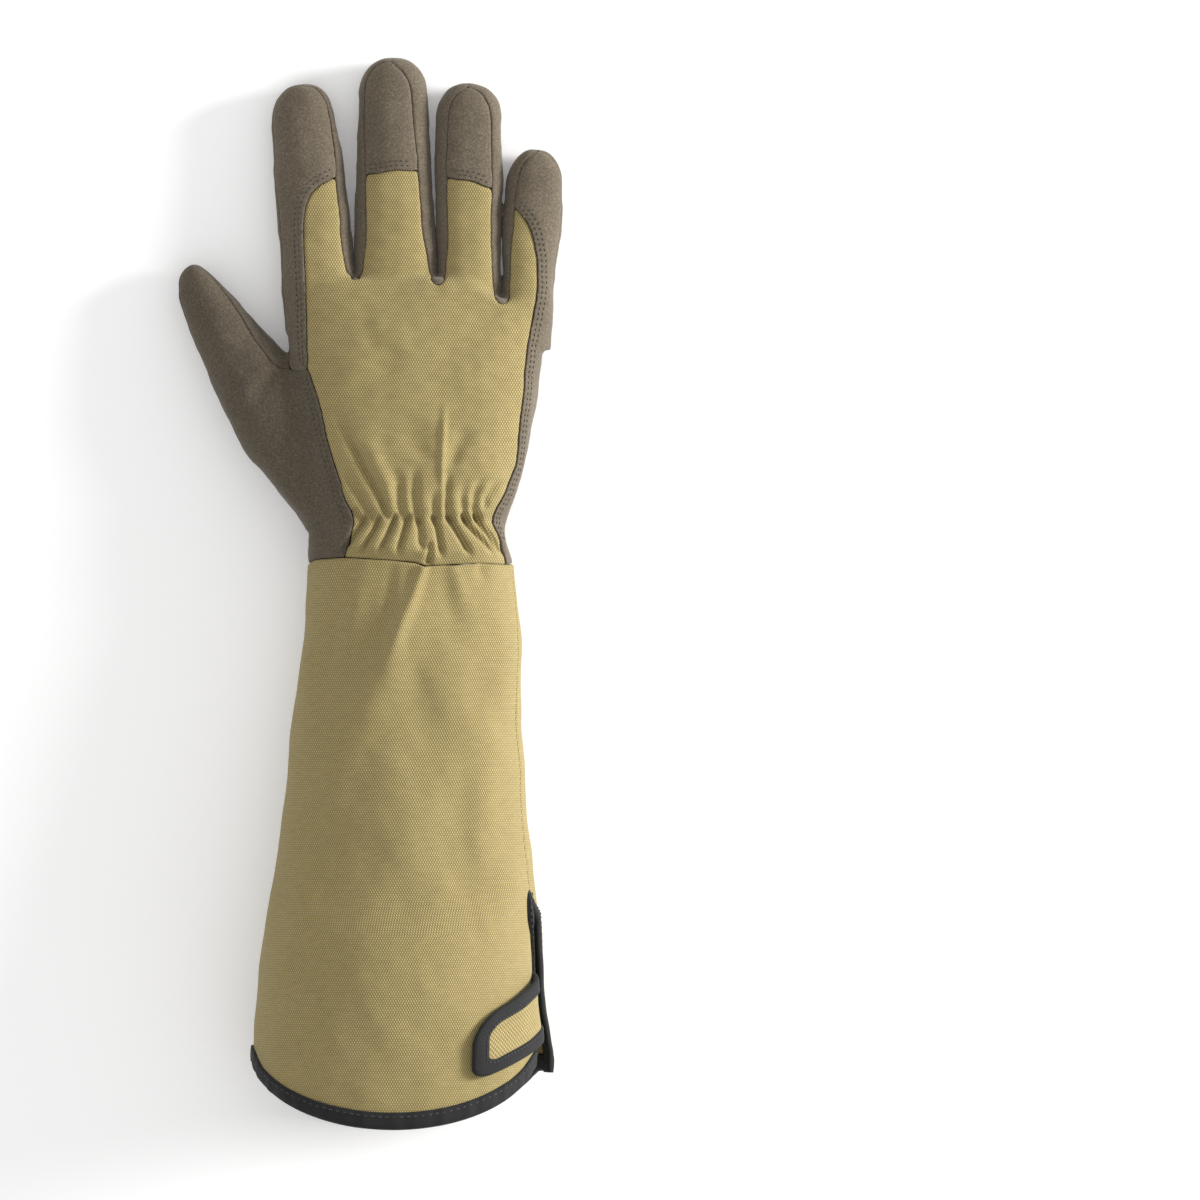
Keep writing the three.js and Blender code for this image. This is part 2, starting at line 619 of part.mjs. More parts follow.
// One side of a finger's piece, from its root to where its end starts to turn
function fingerLine(finger, side, from, to, inset, steps = 2) {
  return Array.from({ length: steps + 1 }, (_, k) => fingerPoint(finger, mix(from, to, k / steps), side, inset));
}

// The round end of a finger's piece, from its left side over the tip to its right
function fingerEnd(finger, inset, steps = 6) {
  const f = fingerFrame(finger);
  const round = TIP_ROUND * FINGER_WIDTH + 1.3;
  const start = f.length - round;
  const half = fingerHalf(finger, start / f.length) - inset;
  const reach = round - inset * 0.55;
  return Array.from({ length: steps + 1 }, (_, k) => {
    const a = Math.PI - (k / steps) * Math.PI;
    const off = half * Math.cos(a);
    const s = start + reach * Math.sin(a);
    return { x: f.root.x + f.alongX * s + f.alongY * off, y: f.root.y + f.alongY * s - f.alongX * off };
  });
}

const turnStart = (finger) => {
  const f = fingerFrame(finger);
  return (f.length - TIP_ROUND * FINGER_WIDTH - 1.3) / f.length;
};

const CROTCH_START = 0.06; // where the seams beside a gap begin to turn into each other, as a share of a finger

// The turn of a seam round the bottom of the gap between two fingers
function crotchTurn(index, inset) {
  const c = onHand(CROTCHES[index]);
  const drop = inset * 0.75;
  return [
    { x: c.x - inset * 0.6, y: c.y - drop * 0.7 },
    { x: c.x, y: c.y - drop },
    { x: c.x + inset * 0.6, y: c.y - drop * 0.7 },
  ];
}

const thumbSide = curveThrough(THUMB_SIDE_SEAM.map(onHand), 13);
const outerSide = curveThrough(OUTER_SIDE_SEAM.map(onHand), 13);
const stripEnd = STRIP_END * HAND_LENGTH;
const [INDEX, MIDDLE, RING, LITTLE] = FINGERS;

// The index and little fingers' cap edges curve from the inner seam round into the side seams
const indexCapEdge = curveThrough(
  [thumbSide[thumbSide.length - 1], onHand({ x: -0.385, y: 0.72 }), onHand({ x: -0.345, y: 0.748 }),
    fingerPoint(INDEX, CAP_EDGES.index, 1, BACK_INSET)], 6);
const littleCapEdge = curveThrough(
  [fingerPoint(LITTLE, CAP_EDGES.little + 0.17, -1, BACK_INSET), onHand({ x: 0.425, y: 0.683 }),
    onHand({ x: 0.455, y: 0.65 }), outerSide[outerSide.length - 1]], 6);

function capEdge(finger) {
  const share = CAP_EDGES[finger.name];
  const left = fingerPoint(finger, share, -1, BACK_INSET);
  const right = fingerPoint(finger, share, 1, BACK_INSET);
  const f = fingerFrame(finger);
  const bow = 0.03 * f.length;
  const mid = { x: (left.x + right.x) / 2 + f.alongX * bow, y: (left.y + right.y) / 2 + f.alongY * bow };
  return curveThrough([left, mid, right], 4);
}

const innerRightOfIndex = fingerLine(INDEX, 1, CAP_EDGES.index, CROTCH_START, BACK_INSET);
const middleLeft = fingerLine(MIDDLE, -1, CROTCH_START, CAP_EDGES.middle, BACK_INSET);
const middleRight = fingerLine(MIDDLE, 1, CAP_EDGES.middle, CROTCH_START, BACK_INSET);
const ringLeft = fingerLine(RING, -1, CROTCH_START, CAP_EDGES.ring, BACK_INSET);
const ringRight = fingerLine(RING, 1, CAP_EDGES.ring, CROTCH_START, BACK_INSET);
const littleLeft = fingerLine(LITTLE, -1, CROTCH_START, CAP_EDGES.little + 0.17, BACK_INSET);

const backOutline = [
  ...thumbSide,
  ...indexCapEdge.slice(1),
  ...innerRightOfIndex.slice(1),
  ...crotchTurn(0, BACK_INSET),
  ...middleLeft,
  ...capEdge(MIDDLE).slice(1, -1),
  ...middleRight,
  ...crotchTurn(1, BACK_INSET),
  ...ringLeft,
  ...capEdge(RING).slice(1, -1),
  ...ringRight,
  ...crotchTurn(2, BACK_INSET),
  ...littleLeft,
  ...littleCapEdge.slice(1),
  ...outerSide.slice(0, -1).reverse(),
];

// The seam round a fingertip's cap, from one end of its straight edge over the tip to the other
const tipSeam = (finger) => [
  ...fingerLine(finger, -1, CAP_EDGES[finger.name], turnStart(finger), BACK_INSET),
  ...fingerEnd(finger, BACK_INSET).slice(1, -1),
  ...fingerLine(finger, 1, turnStart(finger), CAP_EDGES[finger.name], BACK_INSET),
];
const tipOutline = (finger) => [...tipSeam(finger), ...capEdge(finger).reverse().slice(1, -1)];

// The middle of a finger's end, pushed out past the tip
const pastTip = (finger) => fingerPoint(finger, 1.1, 0, 0);
const overTip = (finger, side, inset) => {
  const end = fingerEnd(finger, inset);
  return side > 0 ? end.slice(end.length / 2) : end.slice(0, Math.ceil(end.length / 2));
};

const indexInnerSide = [
  ...fingerLine(INDEX, 1, CAP_EDGES.index, turnStart(INDEX), BACK_INSET),
  ...overTip(INDEX, 1, BACK_INSET).reverse().slice(1),
  pastTip(INDEX),
];
const littleInnerSide = [
  ...fingerLine(LITTLE, -1, CAP_EDGES.little + 0.17, turnStart(LITTLE), BACK_INSET),
  ...overTip(LITTLE, -1, BACK_INSET).slice(1),
  pastTip(LITTLE),
];

const thumbSideUpper = thumbSide.filter((p) => p.y > stripEnd);
const thumbSideLower = thumbSide.filter((p) => p.y <= stripEnd);
const stripCorner = { x: mix(thumbSideLower.at(-1).x, thumbSideUpper[0].x, 0.5), y: stripEnd };

const indexCapOutline = [
  { x: -FAR, y: stripEnd },
  stripCorner,
  ...thumbSideUpper,
  ...indexCapEdge.slice(1),
  ...indexInnerSide.slice(1),
  { x: pastTip(INDEX).x, y: FAR },
  { x: -FAR, y: FAR },
];
const thumbBackOutline = [
  { x: -FAR, y: -5 },
  ...thumbSideLower,
  stripCorner,
  { x: -FAR, y: stripEnd },
];
// The thumb reaches further up than the strip's end, on the other side of the open air beside the index finger
const thumbGap = [...THUMB_GAP.map(onHand), { x: THUMB_GAP.at(-1).x * PALM_WIDTH, y: FAR }];
const thumbZone = [...thumbGap, { x: -FAR, y: FAR }, { x: -FAR, y: stripEnd }];
const littleCapOutline = [
  ...outerSide,
  ...littleCapEdge.slice(0, -1).reverse(),
  ...littleInnerSide.slice(1),
  { x: pastTip(LITTLE).x, y: FAR },
  { x: FAR, y: FAR },
  { x: FAR, y: outerSide[0].y },
];

// Palm side
const palmThumbSeam = curveThrough(THUMB_PALM_SEAM.map(onHand), 14);
const palmNotch = PALM_NOTCH.map(onHand);
const palmLine = (finger, side, from, to) => fingerLine(finger, side, from, to, PALM_INSET);
const palmFinger = (finger) => [
  ...palmLine(finger, -1, CROTCH_START, turnStart(finger)),
  ...fingerEnd(finger, PALM_INSET).slice(1, -1),
  ...palmLine(finger, 1, turnStart(finger), CROTCH_START),
];
const palmIndexSide = [
  pastTip(INDEX),
  ...overTip(INDEX, 1, PALM_INSET),
  ...palmLine(INDEX, 1, turnStart(INDEX), CROTCH_START).slice(1),
];
const palmLittleSide = [
  ...palmLine(LITTLE, -1, CROTCH_START, turnStart(LITTLE)),
  ...overTip(LITTLE, -1, PALM_INSET).slice(1),
  pastTip(LITTLE),
];
const palmSeamOverFingers = [
  ...palmIndexSide,
  ...crotchTurn(0, PALM_INSET),
  ...palmFinger(MIDDLE),
  ...crotchTurn(1, PALM_INSET),
  ...palmFinger(RING),
  ...crotchTurn(2, PALM_INSET),
  ...palmLittleSide,
];
const palmOutline = [
  ...palmThumbSeam,
  ...palmNotch,
  ...thumbGap.slice(1),
  { x: pastTip(INDEX).x, y: FAR },
  ...palmSeamOverFingers,
  { x: pastTip(LITTLE).x, y: FAR },
  { x: FAR, y: FAR },
  { x: FAR, y: palmThumbSeam[0].y },
];
const thumbFrontOutline = [
  ...palmThumbSeam,
  ...palmNotch,
  ...thumbGap.slice(1),
  { x: -FAR, y: FAR },
  { x: -FAR, y: palmThumbSeam[0].y },
];

// The glove's cloth as one hollow form, and what the seams take out of it

const handOuter = unite([handSolid(0), ...FINGERS.map((f) => fingerSolid(f, 0)), thumbSolid(0)]);
const handInner = unite([handSolid(WALL), ...FINGERS.map((f) => fingerSolid(f, WALL)), thumbSolid(WALL)]);
const pastWrist = prism([{ x: -FAR, y: SEAM_GAP / 2 }, { x: FAR, y: SEAM_GAP / 2 }, { x: FAR, y: FAR }, { x: -FAR, y: FAR }], -5, FAR);
const handShell = settled(settled(handOuter.subtract(handInner)).intersect(pastWrist));

const backSeams = unite([
  seamWall(backOutline, 0, FAR),
  seamWall(tipSeam(MIDDLE), 0, FAR),
  seamWall(tipSeam(RING), 0, FAR),
  seamWall(indexInnerSide, 0, FAR),
  seamWall(littleInnerSide, 0, FAR),
  seamWall([{ x: -0.53 * PALM_WIDTH, y: stripEnd }, { x: stripCorner.x + 1, y: stripEnd }], 0, FAR),
]);
const palmSeams = unite([
  seamWall([...palmThumbSeam, ...palmNotch], -5, FAR),
  seamWall(palmSeamOverFingers, -5, FAR),
]);
const backCloth = settled(handShell.intersect(backHalf).subtract(backSeams));
const palmCloth = settled(handShell.intersect(palmHalf).subtract(palmSeams));

// A region between the middle lines of two neighbouring fingers, where their shared wall is cut from
function gapZone(left, right, index) {
  const c = onHand(CROTCHES[index]);
  const low = c.y - 14;
  const near = (finger, side) => {
    const root = fingerPoint(finger, 0, 0, 0);
    const tip = fingerPoint(finger, 1.1, 0, 0);
    const shift = (side * SEAM_GAP) / 2;
    return [{ x: root.x + shift, y: low }, { x: root.x + shift, y: root.y }, { x: tip.x + shift, y: tip.y }];
  };
  return [...near(left, 1), ...near(right, -1).reverse()];
}

const backRegions = unite([
  prism(backOutline, 0, FAR),
  prism(tipOutline(MIDDLE), 0, FAR),
  prism(tipOutline(RING), 0, FAR),
  prism(indexCapOutline, 0, FAR),
  prism(littleCapOutline, 0, FAR),
]);
const palmRegion = prism(palmOutline, -5, FAR);
const wallCloth = settled(
  handShell
    .subtract(backRegions.add(backSeams).intersect(above(0)))
    .subtract(palmRegion.add(palmSeams).intersect(below(0))),
);

// Keeps the main body of a piece and drops the crumbs that a seam leaves at its ends
function mainBody(solid) {
  const bodies = solid.decompose();
  return bodies.reduce((a, b) => (b.volume() > a.volume() ? b : a));
}

const belowCrotches = (index) => prism(gapZone(FINGERS[index], FINGERS[index + 1], index), -5, FAR);

// The gauntlet

function hemLine(lift, steps = 16) {
  const line = Array.from({ length: steps + 1 }, (_, k) => {
    const a = Math.PI + (k / steps) * Math.PI;
    return { x: hemCentre + hemHalf * Math.cos(a), y: hemSide + lift + HEM_DROP * Math.sin(a) };
  });
  return [{ x: -FAR, y: hemSide + lift }, ...line, { x: FAR, y: hemSide + lift }];
}
const clothAboveHem = (lift) =>
  prism([...hemLine(lift), { x: FAR, y: -SEAM_GAP / 2 }, { x: -FAR, y: -SEAM_GAP / 2 }], -5, FAR);

const tube = (outset, sprung) =>
  gauntletSolid(-outset, sprung).subtract(gauntletSolid(WALL + outset, sprung));

// The slit's two edges, seen from the side: lift is measured from the side seam
const slitWedge = (low, high) => {
  const z = (y) => between(SIDE_SEAM, "at", "z", y);
  const bottom = -GAUNTLET_LENGTH - 20;
  return sidePrism(
    [
      { y: slitTop, z: z(slitTop) + low(0) },
      { y: hemSide, z: z(hemSide) + low(1) },
      { y: bottom, z: z(bottom) + low(1) },
      { y: bottom, z: z(bottom) + high(1) },
      { y: hemSide, z: z(hemSide) + high(1) },
      { y: slitTop, z: z(slitTop) + high(0) },
    ],
    hemCentre,
    FAR,
  );
};
const slitRise = (t) => SLIT_OPENING * t;
const boundEdge = (t) => BINDING_WIDTH * mix(0.25, 1, Math.min(1, t * 3));
const slitGap = slitWedge(() => -SEAM_GAP / 2, (t) => slitRise(t) + SEAM_GAP / 2);
const backBand = slitWedge((t) => slitRise(t) + SEAM_GAP / 2, (t) => slitRise(t) + boundEdge(t));
const backBandCut = slitWedge((t) => slitRise(t) - 1, (t) => slitRise(t) + boundEdge(t) + SEAM_GAP);
const palmBand = slitWedge((t) => -boundEdge(t), () => -SEAM_GAP / 2);
const palmBandCut = slitWedge((t) => -boundEdge(t) - SEAM_GAP, () => 1);

const backTube = tube(0, false).intersect(backHalf);
const palmTube = tube(0, true).intersect(palmHalf);
const thickBack = tube(BINDING_PROUD, false);
const thickPalm = tube(BINDING_PROUD, true);
const canvasLimit = clothAboveHem(BINDING_WIDTH + SEAM_GAP);
const slitLimit = clothAboveHem(BINDING_WIDTH + SEAM_GAP);
const hemBand = clothAboveHem(0).subtract(clothAboveHem(BINDING_WIDTH));

const gauntletBack = backTube.intersect(canvasLimit).subtract(backBandCut);
const gauntletPalm = palmTube.intersect(canvasLimit).subtract(palmBandCut);
const hemBindingBack = thickBack.intersect(backHalf).intersect(hemBand).subtract(slitGap);
const hemBindingPalm = thickPalm.intersect(palmHalf).intersect(hemBand).subtract(slitGap);
const slitBindingBack = thickBack.intersect(backBand).intersect(slitLimit);
const slitBindingPalm = thickPalm.intersect(palmBand).intersect(slitLimit);

// The strap: a tab sewn to the palm side that bends round over the slit and lies on the back

const STRAP_START = { angle: -0.2 * Math.PI, y: -0.742 };
const STRAP_END = { angle: 0.33 * Math.PI, y: -0.845 };

function strapPoint(u, w, lift) {
  const share = u / STRAP_REACH;
  const angle = mix(STRAP_START.angle, STRAP_END.angle, share);
  const y = mix(STRAP_START.y, STRAP_END.y, share) * GAUNTLET_LENGTH + w;
  const along = -y / GAUNTLET_LENGTH;
  const section = gauntletSection(along);
  const over = BINDING_PROUD + SEAM_GAP;
  const spring = springOut(Math.min(angle, 0), y) * smooth((0.26 * Math.PI - angle) / (0.24 * Math.PI));
  return sectionPoint(section, angle, -(over + lift + spring), foldRise(angle, along));
}

// The strap's outline, from one corner round its rounded end to the other, drawn in by inset
function strapOutline(inset, steps = 10) {
  const half = STRAP_WIDTH / 2 - inset;
  const centre = STRAP_REACH - STRAP_WIDTH / 2;
  const end = Array.from({ length: steps + 1 }, (_, k) => {
    const a = -Math.PI / 2 + (k / steps) * Math.PI;
    return { u: centre + half * Math.cos(a), w: half * Math.sin(a) };
  });
  const run = Array.from({ length: 11 }, (_, k) => (k / 11) * centre);
  return [
    ...run.map((u) => ({ u, w: -half })),
    ...end,
    ...run.reverse().map((u) => ({ u, w: half })),
  ];
}

// A slab whose top and bottom are grids between two outlines that match point for point
function slab(outer, inner, low, high) {
  const rows = outer.map((p, i) => [
    strapPoint(p.u, p.w, low),
    strapPoint(p.u, p.w, high),
    strapPoint(inner[i].u, inner[i].w, high),
    strapPoint(inner[i].u, inner[i].w, low),
  ]);
  return loft(rows);
}

function coreSlab(outline, low, high) {
  const half = outline.length / 2;
  const rows = [];
  for (let i = 0; i < Math.floor(half) + 1; i++) {
    const a = outline[i];
    const b = outline[outline.length - 1 - i];
    if (Math.abs(a.w - b.w) < 0.2) continue;
    const across = [0, 0.33, 0.67, 1].map((t) => ({ u: mix(a.u, b.u, t), w: mix(a.w, b.w, t) }));
    rows.push([
      ...across.map((p) => strapPoint(p.u, p.w, low)),
      ...across.reverse().map((p) => strapPoint(p.u, p.w, high)),
    ]);
  }
  return loft(rows);
}

const strapBinding = slab(strapOutline(0), strapOutline(BINDING_WIDTH * 0.85), 0, STRAP_THICKNESS + BINDING_PROUD);
const strapCanvas = coreSlab(strapOutline(BINDING_WIDTH * 0.85 + SEAM_GAP), BINDING_PROUD / 2, STRAP_THICKNESS);

// Pieces sewn on the palm side

function padSolid() {
  const gap = handSolid(-SEAM_GAP).add(thumbSolid(-SEAM_GAP));
  const skin = handSolid(-(SEAM_GAP + PAD_THICKNESS)).subtract(gap);
  const corners = PAD_OUTLINE.map(onHand);
  const outline = [...curveThrough(corners.slice(0, -2), 20), ...corners.slice(-2)];
  const grooves = PAD_CHANNELS.map((g) => {
    const line = [onHand({ x: g.fromX, y: g.fromY }), onHand({ x: g.toX, y: g.toY })];
    const { left, right } = ribbon(line, QUILT_GROOVE_WIDTH);
    return prism([...left, ...right.reverse()], -5, QUILT_GROOVE);
  });
  return skin.intersect(prism(outline, -5, PALM_REST + PAD_SIDE_HEIGHT)).subtract(unite(grooves));
}

const PATCH_INSET = PALM_INSET + SEAM_GAP;
function patchSolid(finger) {
  const skin = fingerSolid(finger, -(SEAM_GAP + PATCH_THICKNESS)).subtract(fingerSolid(finger, -SEAM_GAP));
  const share = PATCH_EDGES[finger.name];
  const turn = turnStart(finger);
  const outline = [
    ...fingerLine(finger, -1, share, turn, PATCH_INSET),
    ...fingerEnd(finger, PATCH_INSET).slice(1, -1),
    ...fingerLine(finger, 1, turn, share, PATCH_INSET),
  ];
  return skin.intersect(prism(outline, -5, FAR)).intersect(below(1));
}

// The thumb's second layer ends across its middle line at this share of THUMB_LENGTH
const THUMB_PATCH_EDGE = 0.36;
function thumbPatchSolid() {
  const tip = onHand(THUMB_TIP);
  const end = onHand(THUMB_END);
  const length = Math.hypot(end.x - tip.x, end.y - tip.y);
  const at = (s, off) => ({
    x: tip.x + ((end.x - tip.x) * s) / length - ((end.y - tip.y) * off) / length,
    y: tip.y + ((end.y - tip.y) * s) / length + ((end.x - tip.x) * off) / length,
  });
  const row = (s) => ({
    outer: between(THUMB_ROWS, "along", "outer", s / THUMB_LENGTH) * THUMB_WIDTH - PATCH_INSET,
    inner: between(THUMB_ROWS, "along", "inner", s / THUMB_LENGTH) * THUMB_WIDTH - PATCH_INSET,
  });
  const stations = [0.36, 0.27, 0.16, 0.075].map((share) => (share * THUMB_PATCH_EDGE * THUMB_LENGTH) / 0.36);
  const outline = [
    ...stations.map((s) => at(s, row(s).outer)),
    at(PATCH_INSET, 0),
    ...stations.reverse().map((s) => at(s, -row(s).inner)),
  ];
  const skin = thumbSolid(-(SEAM_GAP + PATCH_THICKNESS)).subtract(thumbSolid(-SEAM_GAP));
  return skin.intersect(prism(outline, -5, FAR)).intersect(below(1));
}

// Materials and meshes

const material = (color, roughness) => new THREE.MeshStandardMaterial({ color, roughness, metalness: 0 });
const canvas = material(0xa89a63, 0.85);
const leather = material(0x6a6052, 0.9);
const tape = material(0x26272a, 0.8);

const pieces = [];
const addPiece = (name, solid, finish) => pieces.push({ name, finish, geometry: geometryOf(mainBody(settled(solid))) });

addPiece("back_panel", backCloth.intersect(prism(backOutline, 0, FAR)), canvas);
addPiece("middle_tip_cap", backCloth.intersect(prism(tipOutline(MIDDLE), 0, FAR)), leather);
addPiece("ring_tip_cap", backCloth.intersect(prism(tipOutline(RING), 0, FAR)), leather);
addPiece("index_side_cap", backCloth.intersect(prism(indexCapOutline, 0, FAR)).subtract(prism(thumbZone, 0, FAR)), leather);
addPiece("little_side_cap", backCloth.intersect(prism(littleCapOutline, 0, FAR)), leather);
addPiece("thumb_back", backCloth.intersect(prism(thumbBackOutline, 0, FAR).add(prism(thumbZone, 0, FAR))), leather);
addPiece("palm_panel", palmCloth.intersect(palmRegion), leather);
addPiece("thumb_front", palmCloth.intersect(prism(thumbFrontOutline, -5, FAR)), leather);
addPiece("finger_wall_index_middle", wallCloth.intersect(belowCrotches(0)), leather);
addPiece("finger_wall_middle_ring", wallCloth.intersect(belowCrotches(1)), leather);
addPiece("finger_wall_ring_little", wallCloth.intersect(belowCrotches(2)), leather);
addPiece("palm_pad", padSolid(), leather);
for (const finger of FINGERS) addPiece(`${finger.name}_tip_patch`, patchSolid(finger), leather);
addPiece("thumb_tip_patch", thumbPatchSolid(), leather);
addPiece("gauntlet_back", gauntletBack, canvas);
addPiece("gauntlet_palm", gauntletPalm, canvas);
addPiece("hem_binding_back", hemBindingBack, tape);
addPiece("hem_binding_palm", hemBindingPalm, tape);
addPiece("slit_binding_back", slitBindingBack, tape);
addPiece("slit_binding_palm", slitBindingPalm, tape);
addPiece("strap_canvas", strapCanvas, canvas);
addPiece("strap_binding", strapBinding, tape);

// The origin goes under the middle of the finished glove
const box = new THREE.Box3();
for (const piece of pieces) {
  piece.geometry.computeBoundingBox();
  box.union(piece.geometry.boundingBox);
}
const centre = box.getCenter(new THREE.Vector3());

const glove = new THREE.Group();
for (const { name, geometry, finish } of pieces) {
  geometry.translate(-centre.x, -centre.y, -box.min.z);
  // Points that almost meet are joined, which drops the slivers a cut leaves beside a facet's edge
  const cleaned = geometryOf(mainBody(solidOf(mergeVertices(geometry, MERGE_DISTANCE))));
  cleaned.computeVertexNormals();
  const mesh = new THREE.Mesh(cleaned, finish);
  mesh.name = name;
  glove.add(mesh);
}

export default glove;
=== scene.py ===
import itertools
import math

import bpy
import numpy as np
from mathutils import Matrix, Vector
from mathutils.bvhtree import BVHTree
from mathutils.kdtree import KDTree


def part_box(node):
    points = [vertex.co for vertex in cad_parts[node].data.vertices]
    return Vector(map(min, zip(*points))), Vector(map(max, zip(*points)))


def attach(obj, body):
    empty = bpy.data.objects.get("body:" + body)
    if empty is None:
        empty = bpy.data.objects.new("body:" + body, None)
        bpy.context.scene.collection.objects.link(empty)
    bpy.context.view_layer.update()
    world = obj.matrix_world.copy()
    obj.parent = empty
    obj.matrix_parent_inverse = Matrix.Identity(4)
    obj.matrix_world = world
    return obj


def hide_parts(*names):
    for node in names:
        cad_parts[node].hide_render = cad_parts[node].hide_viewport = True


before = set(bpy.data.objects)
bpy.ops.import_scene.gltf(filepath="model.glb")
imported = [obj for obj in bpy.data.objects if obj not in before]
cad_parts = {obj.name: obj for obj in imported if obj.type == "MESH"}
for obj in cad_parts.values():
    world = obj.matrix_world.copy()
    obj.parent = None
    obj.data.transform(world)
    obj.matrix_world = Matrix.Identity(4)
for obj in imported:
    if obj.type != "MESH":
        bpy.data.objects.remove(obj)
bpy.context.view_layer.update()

# The glove is worked out in millimetres from the middle of the wrist seam, then moved into the row frame.
SHIFT = np.array([17.81, 11.563, 0.0])
STEP = 0.8

HAND_LENGTH = 213.4
PALM_WIDTH = 112.0
PALM_SHIFT = 2.7
KNUCKLE_THICKNESS = 27.0
WRIST_WIDTH = 85.6
WRIST_THICKNESS = 44.0
GAUNTLET_LENGTH = 236.5
HEM_WIDTH = 119.0
HEM_THICKNESS = 72.0
HEM_DROP = 31.5
GAUNTLET_DRIFT = -7.0
FINGER_WIDTH = 30.0
FINGER_THICKNESS = 21.0
THUMB_LENGTH = 124.0
THUMB_WIDTH = 42.0
THUMB_THICKNESS = 25.0
LEATHER_THICKNESS = 1.1
CANVAS_THICKNESS = 1.3
PAD_THICKNESS = 2.8
PATCH_THICKNESS = 1.15
BINDING_WIDTH = 7.0
SLIT_LENGTH = 63.0
STRAP_WIDTH = 25.0
STRAP_REACH = 64.0
STRAP_THICKNESS = 2.5

PALM_REST = 3.1
FINGER_REST = 1.5
GAUNTLET_REST = 0.8
ROOT_LIFT = 0.45
TIP_ROUND = 0.52

# name, root x and y, tip x and y, half widths at the root, middle and end
FINGERS = [
    ("index", -0.346, 0.54, -0.416, 0.949, 0.49, 0.49, 0.44),
    ("middle", -0.057, 0.54, -0.075, 1.0, 0.565, 0.525, 0.49),
    ("ring", 0.218, 0.54, 0.212, 0.951, 0.43, 0.485, 0.455),
    ("little", 0.432, 0.5, 0.469, 0.818, 0.35, 0.42, 0.385),
]
# along, flare, shift, depth
HAND_ROWS = np.array([
    (0.0, 0.0, 0.0, 1.0), (0.03, -0.05, -0.4, 0.94), (0.055, -0.12, -0.6, 0.86), (0.077, -0.12, -0.6, 0.82),
    (0.1, -0.02, -0.4, 0.84), (0.13, 0.1, 0.0, 0.85), (0.189, 0.29, 0.5, 0.84), (0.248, 0.42, 0.63, 0.78),
    (0.307, 0.56, 0.85, 0.7), (0.366, 0.67, 0.78, 0.58), (0.425, 0.8, 0.78, 0.4), (0.484, 0.92, 0.93, 0.15),
    (0.53, 0.99, 1.0, -0.1), (0.563, 1.0, 1.0, -0.22),
])
# along, flare, drift
GAUNTLET_ROWS = np.array([
    (0.0, 0.0, 0.0), (0.03, 0.02, 0.0), (0.1, 0.14, -0.05), (0.2, 0.235, 0.09), (0.3, 0.333, 0.27),
    (0.42, 0.48, 0.39), (0.55, 0.667, 0.485), (0.68, 0.85, 0.76), (0.8, 0.963, 0.91), (0.9, 1.0, 1.0), (1.02, 1.02, 1.0),
])
# angle, slant, from, to, height, spread
GAUNTLET_FOLDS = [
    (84, 30, -0.02, 0.34, 2.6, 11), (58, -10, 0.02, 0.3, -1.6, 12),
    (118, 12, 0.3, 0.95, -1.3, 16), (70, 6, 0.45, 1.0, 1.2, 18),
    (98, 6, -0.01, 0.16, -1.5, 4), (91, 10, -0.01, 0.2, 1.4, 5), (112, 18, -0.01, 0.2, 1.0, 7),
    (74, -8, -0.01, 0.16, -0.9, 6), (62, -12, -0.01, 0.22, 0.9, 8), (128, 14, 0.0, 0.3, -0.9, 9),
    (100, -8, 0.3, 0.62, 0.8, 10), (66, -6, 0.35, 0.75, -1.0, 12), (135, 6, 0.5, 0.98, 1.0, 14),
    (48, 4, 0.2, 0.6, 0.8, 10), (92, 3, 0.6, 1.02, 0.9, 14), (356, 0, 0.46, 0.8, 2.1, 10), (-4, 0, 0.46, 0.8, 2.1, 10),
]
THUMB_TIP = np.array([-0.837 * PALM_WIDTH, 0.587 * HAND_LENGTH])
THUMB_END = np.array([-0.322 * PALM_WIDTH, 0.071 * HAND_LENGTH])
# along, outer, inner, depth
THUMB_ROWS = np.array([
    (0.0, 0.2, 0.15, 0.6), (0.035, 0.205, 0.155, 0.64), (0.075, 0.235, 0.18, 0.7), (0.16, 0.275, 0.25, 0.78),
    (0.27, 0.32, 0.335, 0.86), (0.39, 0.345, 0.43, 0.95), (0.5, 0.36, 0.5, 1.0), (0.65, 0.355, 0.58, 1.08),
    (0.82, 0.26, 0.62, 1.16), (0.97, 0.16, 0.58, 1.2),
])


# Numbers and curves

def mix(a, b, t):
    return a + (b - a) * t


def smooth(t):
    t = np.clip(t, 0.0, 1.0)
    return t * t * (3 - 2 * t)


def bump(d, width):
    return np.exp(-(d / width) ** 2)


def unit(v, least=1e-6):
    return v / np.maximum(np.linalg.norm(v, axis=-1, keepdims=True), least)


def run_of(points):
    """The length along a line of points, at each of them."""
    return np.concatenate([[0], np.cumsum(np.linalg.norm(np.diff(points, axis=0), axis=1))])


def roll_off(distance, width):
    """The round fall of a rolled edge: 1 at the edge, 0 from this width on."""
    roll = 1 - np.clip(distance / width, 0, 1)
    return 1 - np.sqrt(np.maximum(1 - roll ** 2, 0))


def curve(at, values, spread):
    """A table of values as a smooth curve."""
    x = np.linspace(at[0] - 8 * spread, at[-1] + 8 * spread, 1600)
    v = np.interp(x, at, values)
    n = int(4 * spread / (x[1] - x[0])) + 1
    k = np.exp(-0.5 * (np.arange(-n, n + 1) * (x[1] - x[0]) / spread) ** 2)
    v = np.convolve(np.pad(v, n, "edge"), k / k.sum(), "valid")
    return lambda q: np.interp(q, x, v)


def curves(rows, *spreads):
    """The columns of a table as smooth curves over its first column."""
    return [curve(rows[:, 0], rows[:, k + 1], spread) for k, spread in enumerate(spreads)]


def blend_min(a, b, k):
    h = np.maximum(k - np.abs(a - b), 0) / k
    return np.minimum(a, b) - h * h * k * 0.25


